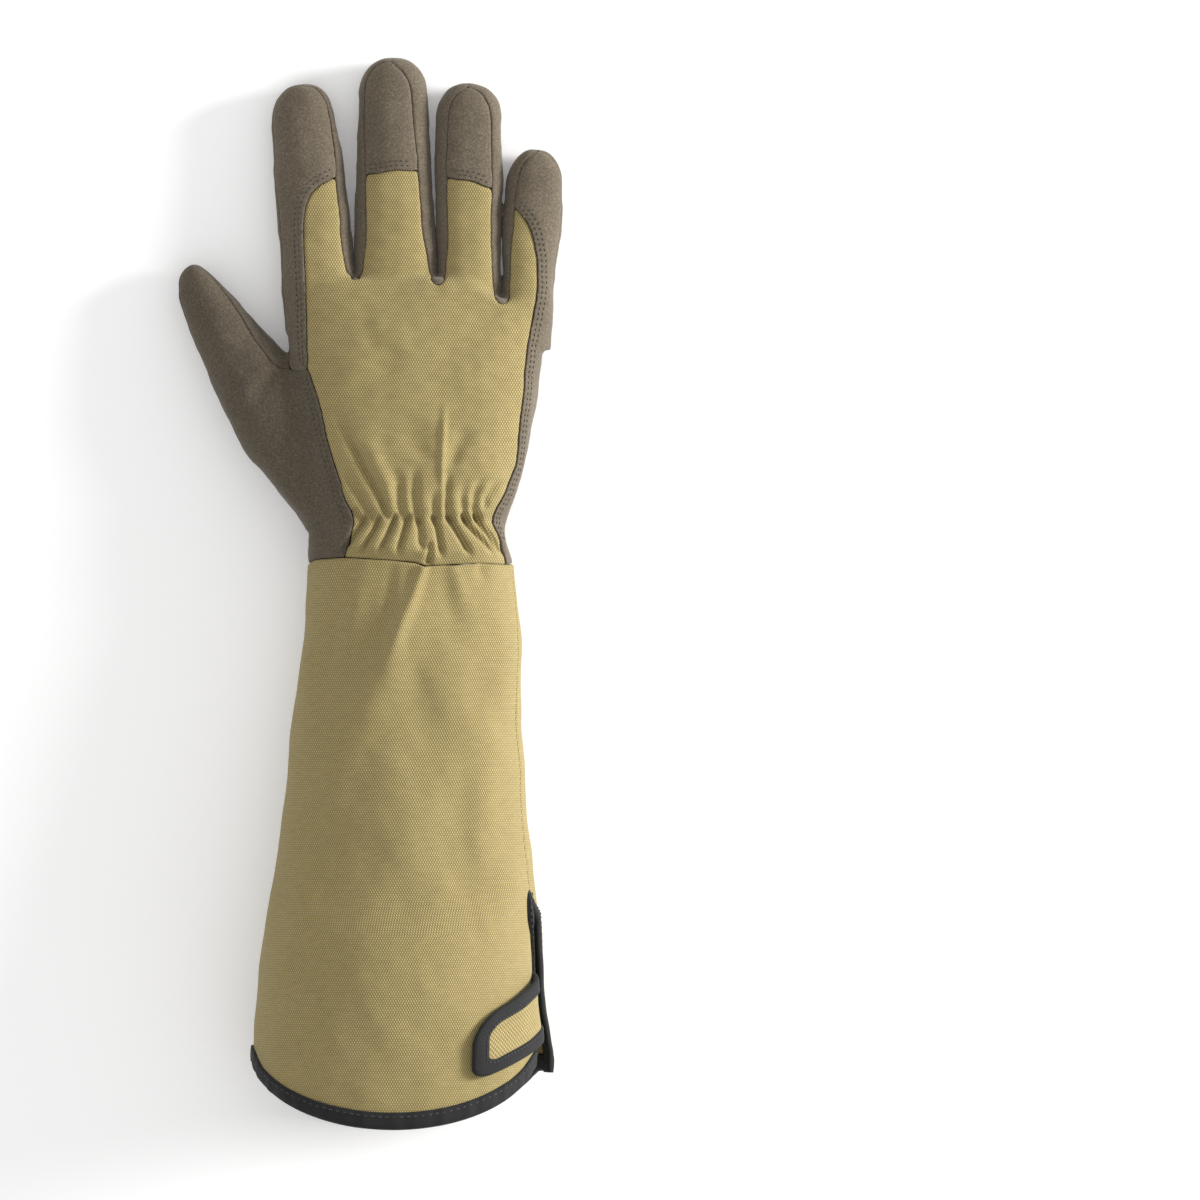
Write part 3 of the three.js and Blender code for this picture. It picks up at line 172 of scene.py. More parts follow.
def blend_max(a, b, k):
    return -blend_min(-a, -b, k)


def ripple(seed, count, wave):
    """Smooth seeded noise, about -1 to 1, whose waves are about this long."""
    r = np.random.default_rng(seed)
    k = r.normal(size=(count, 3))
    k *= (2 * math.pi / wave * r.uniform(0.6, 1.5, count) / np.linalg.norm(k, axis=1))[:, None]
    phase = r.uniform(0, 2 * math.pi, count)
    return lambda p: np.sin(p @ k.T + phase).sum(1) / math.sqrt(count)


# The hand's outer form as a distance field

hand_flare, hand_shift, hand_depth = curves(HAND_ROWS, 0.008, 0.012, 0.02)
thumb_outer, thumb_inner, thumb_depth = curves(THUMB_ROWS, 0.015, 0.015, 0.02)
FINGER_CURVES = [
    curve([0, 0.07, 0.14, 0.55, 0.85, 1], [root + 0.03, root + 0.022, root + 0.004, middle, end, end * 0.95], 0.025)
    for *_, root, middle, end in FINGERS]


def oval(dx, dz, left, right, top, bottom, power, flat, extra=0.0, extra_slope=0.0):
    """About the distance to a rounded section, negative inside."""
    half = np.where(dx > 0, right, left)
    tall = np.where(dz > 0, top, bottom)
    pz = np.where(dz > 0, power, flat)
    ax, az = np.abs(dx), np.abs(dz)
    a = (ax / half) ** power
    b = (az / tall) ** pz
    g = a + b + extra + 1e-6
    m = 1 / 2.3
    q = g ** m
    across, up = power * a / np.maximum(ax, 0.01), pz * b / np.maximum(az, 0.01)
    slope = m * q / g * np.sqrt(across ** 2 + up ** 2 + extra_slope ** 2)
    return (q - 1) / np.maximum(slope, 0.3 / np.maximum(half, tall))


def hand_field(x, y, z):
    along = np.clip(y / HAND_LENGTH, -0.02, 0.6)
    depth = hand_depth(along)
    half = mix(WRIST_WIDTH, PALM_WIDTH, hand_flare(along)) / 2
    rest = mix(GAUNTLET_REST, PALM_REST, smooth(along / 0.03))
    tall = mix(KNUCKLE_THICKNESS, WRIST_THICKNESS, depth)
    middle = rest + tall * 0.42
    d = oval(x - hand_shift(along) * PALM_SHIFT, z - middle, half, half, tall * 0.58, tall * 0.42 + 1.5, 2.35, 2.8)
    d = blend_max(d, rest - z, 1.4)
    outward = smooth((x / PALM_WIDTH - 0.2) / 0.16)
    front = (0.563 - outward * 0.041) * HAND_LENGTH
    d = blend_max(d, y - front, 5.0)
    return np.maximum(d, -12 - y)


def finger_field(i, x, y, z):
    _, rx, ry, tx, ty, *_ = FINGERS[i]
    root = np.array([rx * PALM_WIDTH, ry * HAND_LENGTH])
    tip = np.array([tx * PALM_WIDTH, ty * HAND_LENGTH])
    length = np.linalg.norm(tip - root)
    ux, uy = (tip - root) / length
    s = (x - root[0]) * ux + (y - root[1]) * uy
    across = (x - root[0]) * uy - (y - root[1]) * ux
    share = np.clip(s / length, 0, 1)
    half = FINGER_CURVES[i](share) * FINGER_WIDTH
    rest = mix(PALM_REST + ROOT_LIFT, FINGER_REST, smooth(share / 0.3))
    tall = FINGER_THICKNESS * mix(1, 0.8, smooth(share))
    middle = rest + tall * 0.46
    end = TIP_ROUND * FINGER_WIDTH
    late = np.maximum(s - (length - end), 0) / end
    extra = late ** 2.25
    slope = 2.25 * late ** 1.25 / end
    d = oval(across, z - middle, half, half, tall * 0.54, tall * 0.46 + 0.8, 2.2, 2.8, extra, slope)
    d = blend_max(d, rest - z, 1.4)
    return np.maximum(d, -16 - s)


def thumb_field(x, y, z):
    ax, ay = (THUMB_END - THUMB_TIP) / np.linalg.norm(THUMB_END - THUMB_TIP)
    s = (x - THUMB_TIP[0]) * ax + (y - THUMB_TIP[1]) * ay
    across = -(x - THUMB_TIP[0]) * ay + (y - THUMB_TIP[1]) * ax
    along = np.clip(s / THUMB_LENGTH, 0, 1)
    depth = thumb_depth(along)
    rest = mix(FINGER_REST, PALM_REST + ROOT_LIFT, smooth(along / 0.5))
    middle = rest + THUMB_THICKNESS * np.maximum(depth, 0.7) * 0.46
    tall = THUMB_THICKNESS * depth
    end = 13.0
    late = np.maximum(end - s, 0) / end
    d = oval(
        across, z - middle, thumb_outer(along) * THUMB_WIDTH, thumb_inner(along) * THUMB_WIDTH,
        tall * 0.54, tall * 0.48, 2.2, 2.6, late ** 2.3, 2.3 * late ** 1.3 / end)
    d = blend_max(d, rest - z, 1.4)
    return np.maximum(d, s - 0.97 * THUMB_LENGTH)


def skin_field(x, y, z):
    fingers = finger_field(0, x, y, z)
    for i in (1, 2, 3):
        fingers = blend_min(fingers, finger_field(i, x, y, z), 0.5)
    d = blend_min(fingers, hand_field(x, y, z), 3.0)
    return blend_min(d, thumb_field(x, y, z), 5.0)


def gradient(p, e=0.05):
    g = np.empty_like(p)
    for k in range(3):
        a, b = p.copy(), p.copy()
        a[:, k] += e
        b[:, k] -= e
        g[:, k] = (skin_field(*a.T) - skin_field(*b.T)) / (2 * e)
    return g


def surface_net(low, high, step):
    """A mesh of the field's zero surface: one point in each cell that it crosses."""
    axes = [np.arange(lo, hi + step, step) for lo, hi in zip(low, high)]
    shape = [len(a) for a in axes]
    f = np.empty(shape)
    for i, x in enumerate(axes[0]):
        yy, zz = np.meshgrid(axes[1], axes[2], indexing="ij")
        f[i] = skin_field(np.full(yy.shape, x), yy, zz)
    inside = f < 0
    corners = list(itertools.product((0, 1), repeat=3))
    count = sum(
        inside[a:shape[0] - 1 + a, b:shape[1] - 1 + b, c:shape[2] - 1 + c].astype(np.int8) for a, b, c in corners)
    active = (count > 0) & (count < 8)
    cells = np.argwhere(active)
    index = -np.ones(active.shape, np.int64)
    index[active] = np.arange(len(cells))
    total, hits = np.zeros((len(cells), 3)), np.zeros(len(cells))
    for a in corners:
        for k in range(3):
            if a[k]:
                continue
            b = tuple(v + (j == k) for j, v in enumerate(a))
            fa, fb = f[tuple((cells + a).T)], f[tuple((cells + b).T)]
            cross = (fa < 0) != (fb < 0)
            t = fa / np.where(cross, fa - fb, 1)
            point = np.array(a) + (np.array(b) - np.array(a)) * t[:, None]
            total[cross] += point[cross]
            hits += cross
    points = (cells + total / hits[:, None]) * step + np.array(low)
    quads = []
    for k in range(3):
        u, v = [j for j in range(3) if j != k]
        first = [slice(1, -1)] * 3
        first[k] = slice(0, -1)
        second = list(first)
        second[k] = slice(1, None)
        a, b = inside[tuple(first)], inside[tuple(second)]
        at = np.argwhere(a != b)
        sign = a[tuple(at.T)]
        at = at + np.array([0 if j == k else 1 for j in range(3)])
        ring = []
        for du, dv in ((1, 1), (0, 1), (0, 0), (1, 0)):
            c = at.copy()
            c[:, u] -= du
            c[:, v] -= dv
            ring.append(index[tuple(c.T)])
        q = np.stack(ring, 1)
        turn = sign if k != 1 else ~sign
        q[~turn] = q[~turn][:, ::-1]
        quads.append(q)
    q = np.concatenate(quads)
    d1 = np.linalg.norm(points[q[:, 0]] - points[q[:, 2]], axis=1)
    d2 = np.linalg.norm(points[q[:, 1]] - points[q[:, 3]], axis=1)
    short = (d1 <= d2)[:, None]
    one = np.where(short, q[:, [0, 1, 2]], q[:, [0, 1, 3]])
    two = np.where(short, q[:, [0, 2, 3]], q[:, [1, 2, 3]])
    return points, np.concatenate([one, two])


# Meshes as arrays

def edges_of(tri):
    return np.unique(np.sort(np.concatenate([tri[:, [0, 1]], tri[:, [1, 2]], tri[:, [2, 0]]]), axis=1), axis=0)


def relax(values, edges, count, rounds, keep=0.5):
    """Averages values over neighbouring points."""
    deg = np.bincount(edges.ravel(), minlength=count).astype(float)
    v = values.astype(float)
    flat = v.reshape(count, -1)
    for _ in range(rounds):
        new = np.empty_like(flat)
        for c in range(flat.shape[1]):
            ahead = np.bincount(edges[:, 0], flat[edges[:, 1], c], count)
            new[:, c] = (ahead + np.bincount(edges[:, 1], flat[edges[:, 0], c], count)) / np.maximum(deg, 1)
        flat = keep * flat + (1 - keep) * new
    return flat.reshape(values.shape)


def compact(co, data, tri):
    """Leaves out the points that no triangle uses."""
    used = np.unique(tri)
    place = -np.ones(len(co), np.int64)
    place[used] = np.arange(len(used))
    return co[used], data[used], place[tri]


def keep_below(co, data, tri, phi):
    """The part of a mesh where phi is negative, with its edge cut along phi = 0. Returns the new arrays."""
    phi = np.where(np.abs(phi) < 2e-3, -2e-3, phi)
    low = phi[tri] < 0
    n = low.sum(1)
    whole = tri[n == 3]
    pairs, faces = [], []

    def cut(a, b):
        pairs.append(np.stack([a, b], 1))
        return len(co) + sum(len(p) for p in pairs[:-1]) + np.arange(len(a))

    for want in (1, 2):
        t = tri[n == want]
        if not len(t):
            continue
        odd = low[n == want] if want == 1 else ~low[n == want]
        k = odd.argmax(1)
        r = np.arange(len(t))
        a, b, c = t[r, k], t[r, (k + 1) % 3], t[r, (k + 2) % 3]
        ab, ac = cut(a, b), cut(a, c)
        if want == 1:
            faces.append(np.stack([a, ab, ac], 1))
        else:
            faces.append(np.stack([ab, b, c], 1))
            faces.append(np.stack([ab, c, ac], 1))
    if pairs:
        uniq, back = np.unique(np.sort(np.concatenate(pairs), axis=1), axis=0, return_inverse=True)
        pa, pb = phi[uniq[:, 0]], phi[uniq[:, 1]]
        t = (pa / (pa - pb))[:, None]
        faces = np.concatenate(faces)
        old = len(co)
        faces = np.where(faces >= old, old + back.ravel()[np.maximum(faces - old, 0)], faces)
        co, data = (np.concatenate([v, mix(v[uniq[:, 0]], v[uniq[:, 1]], t)]) for v in (co, data))
        whole = np.concatenate([whole, faces])
    return compact(co, data, whole[(whole != np.roll(whole, -1, axis=1)).all(1)])


def rim_of(tri):
    """A mesh's open edges, directed as its triangles run."""
    e = np.concatenate([tri[:, [0, 1]], tri[:, [1, 2]], tri[:, [2, 0]]])
    key = np.sort(e, axis=1)
    _, first, count = np.unique(key, axis=0, return_index=True, return_counts=True)
    return e[first[count == 1]]


def rim_cloud(co, tri):
    """Points along a mesh's rim: its own, and the middles of its edges."""
    ends = co[rim_of(tri)]
    return np.concatenate([ends[:, 0], ends.mean(1)])


def distance_to(points, cloud):
    tree = KDTree(len(cloud))
    for i, c in enumerate(cloud):
        tree.insert(c, i)
    tree.balance()
    return np.array([tree.find(p)[2] for p in points])


def add_object(name, co, faces, material, slot, uv=None):
    """A Blender mesh from points in millimetres and a list of face arrays."""
    mesh = bpy.data.meshes.new(name)
    sizes = np.concatenate([np.full(len(f), f.shape[1]) for f in faces])
    corners = np.concatenate([f.ravel() for f in faces]).astype(np.int32)
    mesh.vertices.add(len(co))
    mesh.vertices.foreach_set("co", ((co + SHIFT) / 1000).astype(np.float32).ravel())
    mesh.loops.add(len(corners))
    mesh.loops.foreach_set("vertex_index", corners)
    mesh.polygons.add(len(sizes))
    mesh.polygons.foreach_set("loop_start", np.concatenate([[0], np.cumsum(sizes)[:-1]]).astype(np.int32))
    mesh.polygons.foreach_set("loop_total", sizes.astype(np.int32))
    mesh.update(calc_edges=True)
    mesh.validate()
    if uv is not None:
        index = np.empty(len(mesh.loops), np.int32)
        mesh.loops.foreach_get("vertex_index", index)
        mesh.uv_layers.new(name="Cloth").data.foreach_set("uv", uv[index].astype(np.float32).ravel())
    mesh.polygons.foreach_set("use_smooth", np.ones(len(mesh.polygons), bool))
    mesh.materials.append(material)
    made = bpy.data.objects.new(name, mesh)
    bpy.context.scene.collection.objects.link(made)
    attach(made, "root")
    return made


def add_look(name, *rest):
    """The piece that takes a frame node's place."""
    made = add_object(name + "_look", *rest)
    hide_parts(name)
    return made


def shell(name, outer, inner, tri, material, slot, uv=None):
    """A piece of cloth or leather: its outer face, its inner face and the edge between them."""
    n = len(outer)
    a, b = rim_of(tri).T
    faces = [tri, tri[:, ::-1] + n, np.stack([b, a, a + n, b + n], 1)]
    return add_look(name, np.concatenate([outer, inner]), faces, material, slot, uv)


# Materials

class Look:
    """A node material, with short calls for the nodes that it uses."""

    def __init__(self, name, rough, sheen, sheen_rough, specular):
        self.material = bpy.data.materials.new(name)
        self.material.use_nodes = True
        self.tree = self.material.node_tree
        self.tree.nodes.clear()
        self.shader = self.node("BsdfPrincipled")
        self.put(self.shader, {
            "Roughness": rough, "Sheen Weight": sheen, "Sheen Roughness": sheen_rough, "Specular IOR Level": specular})
        self.put(self.node("OutputMaterial"), {"Surface": self.shader.outputs["BSDF"]})

    def node(self, kind):
        return self.tree.nodes.new("ShaderNode" + kind)

    def put(self, node, values):
        """Sets a node's sockets to numbers and colours, or links them to other nodes' outputs."""
        for key, value in values.items():
            if isinstance(value, bpy.types.NodeSocket):
                self.tree.links.new(value, node.inputs[key])
            else:
                node.inputs[key].default_value = value

    def math(self, operation, *values):
        node = self.node("Math")
        node.operation = operation
        self.put(node, dict(enumerate(values)))
        return node.outputs[0]

    def noise(self, vector, scale, detail=3.0, roughness=0.5, distortion=0.0):
        node = self.node("TexNoise")
        self.put(node, {
            "Vector": vector, "Scale": scale, "Detail": detail, "Roughness": roughness, "Distortion": distortion})
        return node.outputs["Fac"]

    def ramp(self, value, stops):
        node = self.node("ValToRGB")
        elements = node.color_ramp.elements
        while len(elements) > 1:
            elements.remove(elements[0])
        elements[0].position = stops[0][0]
        elements[0].color = (*stops[0][1], 1)
        for at, color in stops[1:]:
            elements.new(at).color = (*color, 1)
        self.put(node, {"Fac": value})
        return node.outputs["Color"]

    def vary(self, color, share, noise, dark, light):
        """Multiplies a colour by a ramp over a noise."""
        node = self.node("Mix")
        node.data_type = "RGBA"
        node.blend_type = "MULTIPLY"
        # sockets 6 and 7 are the two colours
        self.put(node, {0: share, 6: color, 7: self.ramp(noise, [(0.3, dark), (0.7, light)])})
        return node.outputs[2]

    def cloth(self):
        """The cloth's own coordinates in millimetres: as a vector, across and along."""
        uv = self.node("UVMap")
        uv.uv_map = "Cloth"
        split = self.node("SeparateXYZ")
        self.put(split, {"Vector": uv.outputs["UV"]})
        return uv.outputs["UV"], split.outputs["X"], split.outputs["Y"]

    def place(self):
        return self.node("TexCoord").outputs["Object"]

    def finish(self, color, height, strength, distance):
        bump = self.node("Bump")
        self.put(bump, {"Strength": strength, "Distance": distance, "Height": height})
        self.put(self.shader, {"Base Color": color, "Normal": bump.outputs["Normal"]})
        return self.material


def canvas_material():
    """Coarse canvas: staggered rows of raised yarns."""
    look = Look("canvas", 0.92, 0.1, 0.6, 0.2)
    cloth, u, v = look.cloth()
    waves = []
    for across, along in ((0.93, 0.52), (0.93, -0.52), (0.0, 1.04)):
        turn = look.math("MULTIPLY", u, 2 * math.pi * across), look.math("MULTIPLY", v, 2 * math.pi * along)
        waves.append(look.math("COSINE", look.math("ADD", *turn)))
    weave = look.math("ADD", look.math("ADD", waves[0], waves[1]), look.math("MULTIPLY", waves[2], 0.5))
    weave = look.math("MULTIPLY_ADD", weave, 0.22, 0.4)
    squeezed = look.node("Mapping")
    look.put(squeezed, {"Vector": cloth, "Scale": (0.35, 1.0, 1.0)})
    slub = look.noise(squeezed.outputs["Vector"], 0.55, 3.0, 0.6)
    cloud = look.noise(look.place(), 18.0, 4.0, 0.55)
    fuzz = look.noise(cloth, 3.2, 2.0, 0.6)
    color = look.ramp(weave, [(0.1, (0.19, 0.145, 0.054)), (0.42, (0.3, 0.235, 0.096)), (0.95, (0.5, 0.41, 0.195))])
    color = look.vary(color, 0.3, slub, (0.7, 0.7, 0.68), (1.15, 1.15, 1.13))
    color = look.vary(color, 0.3, cloud, (0.78, 0.78, 0.76), (1.12, 1.12, 1.12))
    color = look.vary(color, 0.25, fuzz, (0.75, 0.75, 0.72), (1.2, 1.2, 1.2))
    return look.finish(color, look.math("ADD", weave, look.math("MULTIPLY", fuzz, 0.35)), 0.8, 0.00028)


def leather_material(name, shade):
    """Soft leather with a short nap: mottled, with a fine grain."""
    look = Look(name, 0.95, 0.17, 0.45, 0.12)
    place = look.place()
    fine = look.noise(place, 2300.0, 2.0, 0.6)
    grain = look.noise(place, 1200.0, 3.0, 0.6, 0.2)
    patch = look.noise(place, 45.0, 3.0, 0.5)
    stops = [(0.25, (0.086, 0.068, 0.046)), (0.5, (0.122, 0.099, 0.07)), (0.75, (0.185, 0.156, 0.119))]
    # shade scales the whole colour: at 1 it is the leather's own tone, and below 1 it makes a darker copy that is
    # painted shade
    color = look.ramp(grain, [(at, tuple(shade * c for c in value)) for at, value in stops])
    color = look.vary(color, 0.35, fine, (0.7, 0.7, 0.7), (1.3, 1.3, 1.3))
    color = look.vary(color, 0.5, patch, (0.86, 0.86, 0.86), (1.1, 1.1, 1.1))
    height = look.math("ADD", look.math("MULTIPLY", grain, 0.8), look.math("MULTIPLY", fine, 0.6))
    return look.finish(color, height, 0.5, 0.00022)


def tape_material():
    """Black woven edge tape with a fine rib."""
    look = Look("binding", 0.75, 0.04, 0.5, 0.25)
    cloth, u, v = look.cloth()
    rib = look.math("SINE", look.math("MULTIPLY", u, 2 * math.pi / 0.9))
    row = look.math("SINE", look.math("MULTIPLY", v, 2 * math.pi / 0.7))
    weave = look.math("MULTIPLY_ADD", look.math("MULTIPLY", rib, row), 0.5, 0.5)
    height = look.math("ADD", weave, look.noise(cloth, 2.5, 3.0, 0.6))
    stops = [(0.2, (0.0045, 0.0047, 0.0045)), (0.8, (0.0195, 0.0202, 0.0195))]
    return look.finish(look.ramp(look.math("MULTIPLY", height, 0.5), stops), height, 0.6, 0.0002)


def thread_material(name, low, high):
    look = Look(name, 0.6, 0.2, 0.4, 0.4)
    twist = look.noise(look.place(), 2600.0, 2.0, 0.6)
    return look.finish(look.ramp(twist, [(0.3, low), (0.7, high)]), twist, 0.5, 0.0001)


canvas = canvas_material()
leather = leather_material("leather", 1.0)
# the thumb's copy is darkened to 0.77 as painted shade, for the lamp's light that falls less on the thumb's side
thumb_leather_painted_shade = leather_material("leather_thumb_painted_shade", 0.77)
tape = tape_material()
dark_thread = thread_material("dark_thread", (0.02, 0.017, 0.013), (0.055, 0.047, 0.036))
grey_thread = thread_material("grey_thread", (0.016, 0.016, 0.016), (0.045, 0.045, 0.045))


# The hand's skin, cut into its sewn pieces where the frame's pieces meet

REACH = 9.0


def tree_of(name):
    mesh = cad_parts[name].data
    co = np.empty(len(mesh.vertices) * 3, np.float32)
    mesh.vertices.foreach_get("co", co)
    points = [Vector(p) for p in co.reshape(-1, 3).astype(float) * 1000 - SHIFT]
    return BVHTree.FromPolygons(points, [list(p.vertices) for p in mesh.polygons])


def distances(name, reach, around, among=True):
    """How far each point of the skin is from a frame node, up to a reach."""
    tree = tree_of(name)
    low, high = (np.array(corner) * 1000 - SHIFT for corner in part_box(name))
    out = np.full(len(skin), reach)
    for i in np.where(((skin > low - around) & (skin < high + around)).all(1) & among)[0]:
        found = tree.find_nearest(skin[i], reach)
        if found[0] is not None:
            out[i] = found[3]
    return out


def tip_share(co, reach):
    """1 at a fingertip, falling to 0 beyond this reach."""
    return sum(bump(np.hypot(co[:, 0] - f[3] * PALM_WIDTH, co[:, 1] - f[4] * HAND_LENGTH), reach) for f in FINGERS)


skin, skin_tri = surface_net((-98, -2.4, -0.6), (66, 217, 48), STEP)
for _ in range(3):
    g = gradient(skin)
    skin -= g * (skin_field(*skin.T) / np.maximum((g * g).sum(1), 0.05))[:, None]
normal = unit(gradient(skin))


def line_sides(p, line):
    """In plan: the distance to a line, the share of its length at its nearest point, and 1 on its left, -1 on its right."""
    line = np.array(line, float)
    best, where, side = np.full(len(p), 1e9), np.zeros(len(p)), np.ones(len(p))
    run = run_of(line)
    for i in range(len(line) - 1):
        a, d = line[i], line[i + 1] - line[i]
        t = np.clip(((p - a) @ d) / (d @ d), 0, 1)
        off = np.linalg.norm(p - a - t[:, None] * d, axis=1)
        closer = off < best
        where = np.where(closer, (run[i] + t * (run[i + 1] - run[i])) / run[-1], where)
        turn = d[0] * (p[:, 1] - a[1]) - d[1] * (p[:, 0] - a[0])
        side = np.where(closer, np.where(turn >= 0, 1.0, -1.0), side)
        best = np.where(closer, off, best)
    return best, where, side


def crease_rise(p, creases, least_in, least_out):
    """How far creases that are laid out in plan lift the cloth."""
    rise = 0
    for line, start, end, height, fade_in, fade_out in creases:
        off, share, _ = line_sides(p, line)
        fade = smooth(share / fade_in + least_in) * smooth((1 - share) / fade_out + least_out)
        rise = rise + height * bump(off, mix(start, end, share)) * fade
    return rise


# Seams that run across the glove's back, in plan: the piece on the line's left, the piece on its right, the least and
# greatest x that the line is for, the line
SEAM_LINES = [
    ("middle_tip_cap", "back_panel", -26.5, 9.0, [
        (-30.0, 162.0), (-18.0, 164.0), (-8.0, 165.7), (2.5, 165.6), (14.0, 163.5)]),
    ("ring_tip_cap", "back_panel", 9.0, 40.0, [
        (5.0, 164.0), (15.5, 162.6), (26.0, 161.0), (34.9, 157.4), (42.0, 153.0)]),
    ("back_panel", "index_side_cap", -98.0, -26.5, [
        (-20.0, 163.6), (-32.3, 162.3), (-36.1, 161.0), (-39.5, 158.8), (-42.6, 155.4), (-44.5, 151.2), (-45.4, 146.2),
        (-45.6, 139.0), (-45.2, 129.0), (-44.7, 117.0), (-44.2, 103.0), (-44.0, 90.0)]),
    ("thumb_front", "thumb_back", -98.0, -30.0, [
        (-95.0, 136.0), (-86.1, 124.3), (-79.4, 115.1), (-71.8, 104.2), (-66.8, 95.8), (-62.6, 89.9), (-59.2, 84.8),
        (-55.4, 82.0), (-52.0, 82.0)]),
]
# How far the seams on each side of a finger lie from the middle of its sides, at its cap's edge and at its tip
SEAM_SHIFT = {0: (1.0, 2.2), 1: (-0.5, -1.9), 2: (0.3, 0.5)}

# The sewn pieces of the skin. The last three are the narrow walls between the fingers
LABELS = [
    "back_panel", "middle_tip_cap", "ring_tip_cap", "index_side_cap", "little_side_cap", "thumb_back",
    "thumb_front", "palm_panel", "finger_wall_index_middle", "finger_wall_middle_ring", "finger_wall_ring_little",
]
WALLS = LABELS[8:]
near = np.stack([distances(name, REACH, REACH) for name in LABELS], 1)
skin_edges = edges_of(skin_tri)
for left, right, low_x, high_x, line in SEAM_LINES:
    a, b = LABELS.index(left), LABELS.index(right)
    off, _, side = line_sides(skin[:, :2], line)
    least = np.minimum(near[:, a], near[:, b])
    weight = smooth((11 - off) / 4) * smooth((normal[:, 2] + 0.1) / 0.25)
    weight = weight * ((skin[:, 0] > low_x) & (skin[:, 0] < high_x))
    ahead = side * off
    near[:, a] = mix(near[:, a], least + np.maximum(-ahead, 0), weight)
    near[:, b] = mix(near[:, b], least + np.maximum(ahead, 0), weight)
near = relax(near, skin_edges, len(skin), 11)
# The seams run calmer round the thumb's end and the fingertips
thumb_end = smooth((32 - np.hypot(skin[:, 0] - THUMB_TIP[0], skin[:, 1] - THUMB_TIP[1])) / 8)
calm = np.maximum(thumb_end, np.minimum(1.6 * tip_share(skin, 7.0), 1))
near = mix(near, relax(near, skin_edges, len(skin), 26), calm[:, None])

# Folds in the canvas over the hand, in plan: points, half width at each end, height, how soon it fades in and out
CREASES = [
    ([(-24.8, 23.9), (-21.2, 17.2)], 1.5, 1.3, -1.7, 0.3, 0.2),
    ([(-30.3, 40.3), (-23.5, 31.5), (-18.9, 23.5), (-15.6, 16.8)], 2.3, 1.3, -2.0, 0.4, 0.12),
    ([(-33.0, 67.2), (-25.6, 51.3), (-18.9, 38.2), (-13.0, 27.7), (-8.8, 16.8)], 2.0, 1.3, -2.7, 0.45, 0.1),
    ([(-8.8, 43.7), (-5.1, 34.0), (-4.6, 24.8), (-2.5, 16.4)], 3.0, 1.4, -2.0, 0.6, 0.12),
    ([(1.7, 43.7), (1.7, 27.7), (2.5, 21.4), (4.0, 15.5)], 2.6, 1.3, -2.2, 0.5, 0.12),
    ([(9.7, 32.8), (10.1, 22.7), (11.1, 16.8)], 2.4, 1.3, -1.8, 0.5, 0.15),
    ([(16.0, 41.2), (14.5, 27.7), (15.5, 21.8), (18.1, 16.4)], 2.4, 1.3, -2.1, 0.4, 0.12),
    ([(23.1, 36.1), (21.6, 27.7), (22.7, 20.2), (25.0, 16.0)], 2.3, 1.3, -1.9, 0.5, 0.12),
    ([(30.7, 38.6), (26.9, 28.6), (26.3, 22.7), (30.0, 16.4)], 2.3, 1.3, -2.0, 0.4, 0.12),
    ([(38.2, 37.0), (31.5, 27.7), (30.7, 21.8)], 2.2, 1.3, -1.5, 0.5, 0.2),
    ([(-18.5, 21.0), (-22.3, 13.9), (-27.7, 4.2), (-29.8, 0.8)], 1.1, 1.3, -2.9, 0.12, 0.25),
    ([(-12.8, 21.0), (-15.1, 14.7), (-19.3, 5.7), (-21.4, 1.0)], 1.1, 1.3, -3.0, 0.12, 0.25),
    ([(-5.9, 21.4), (-8.8, 14.1), (-11.3, 7.6), (-13.6, 1.5)], 1.1, 1.3, -3.0, 0.12, 0.3),
    ([(0.0, 21.4), (-2.1, 16.4), (-4.6, 6.7), (-5.6, 2.0)], 1.1, 1.3, -2.9, 0.12, 0.3),
    ([(2.9, 19.7), (4.0, 13.9), (4.2, 8.8), (5.9, 5.9)], 1.1, 1.8, -2.3, 0.2, 0.14),
    ([(8.4, 21.0), (11.1, 15.5), (12.6, 6.7), (13.4, 2.0)], 1.1, 1.3, -2.9, 0.12, 0.3),
    ([(7.8, 10.5), (8.0, 5.9), (7.1, 0.4)], 1.1, 1.3, -1.9, 0.3, 0.05),
    ([(14.7, 21.0), (18.5, 15.1), (22.3, 8.8), (26.0, 2.2)], 1.1, 1.3, -3.0, 0.12, 0.3),
    ([(21.0, 21.4), (24.8, 15.5), (31.5, 8.4), (35.8, 3.0)], 1.1, 1.3, -2.9, 0.12, 0.3),
    ([(26.6, 21.4), (31.1, 14.7), (37.4, 5.9), (39.5, 2.5)], 1.1, 1.3, -2.8, 0.12, 0.25),
    ([(14.3, 69.7), (13.0, 40.3), (13.7, 27.7), (12.6, 19.3)], 1.5, 1.2, 1.4, 0.3, 0.2),
    ([(-20.6, 57.0), (-10.9, 36.0), (-6.3, 21.4)], 4.0, 2.0, 1.2, 0.4, 0.3),
    ([(-2.9, 61.3), (8.0, 40.3)], 6.0, 4.0, -1.3, 0.4, 0.4),
    ([(24.8, 59.6), (19.7, 48.7), (16.0, 38.2)], 4.0, 2.4, -1.5, 0.4, 0.3),
    ([(-20.0, 112.0), (-8.0, 96.0), (2.0, 80.0)], 5.0, 6.0, 0.6, 0.3, 0.3),
    ([(-56.0, 80.4), (-62.6, 73.9), (-69.5, 66.0)], 1.8, 4.0, -1.5, 0.1, 0.6),
    ([(-59.0, 84.0), (-67.0, 76.0), (-73.0, 60.0)], 3.0, 6.0, 0.8, 0.2, 0.5),
    ([(-66.0, 96.0), (-60.5, 90.5), (-57.0, 86.5)], 1.2, 1.0, -0.9, 0.3, 0.3),
    ([(-63.0, 94.5), (-57.5, 87.5)], 0.9, 0.9, 0.7, 0.3, 0.3),
    ([(-55.0, 52.0), (-50.0, 30.0)], 7.0, 8.0, -1.2, 0.4, 0.4),
    ([(-26.0, 92.0), (10.0, 82.0), (38.0, 96.0)], 6.0, 6.0, -0.6, 0.3, 0.3),
]
ELASTIC = 17.5


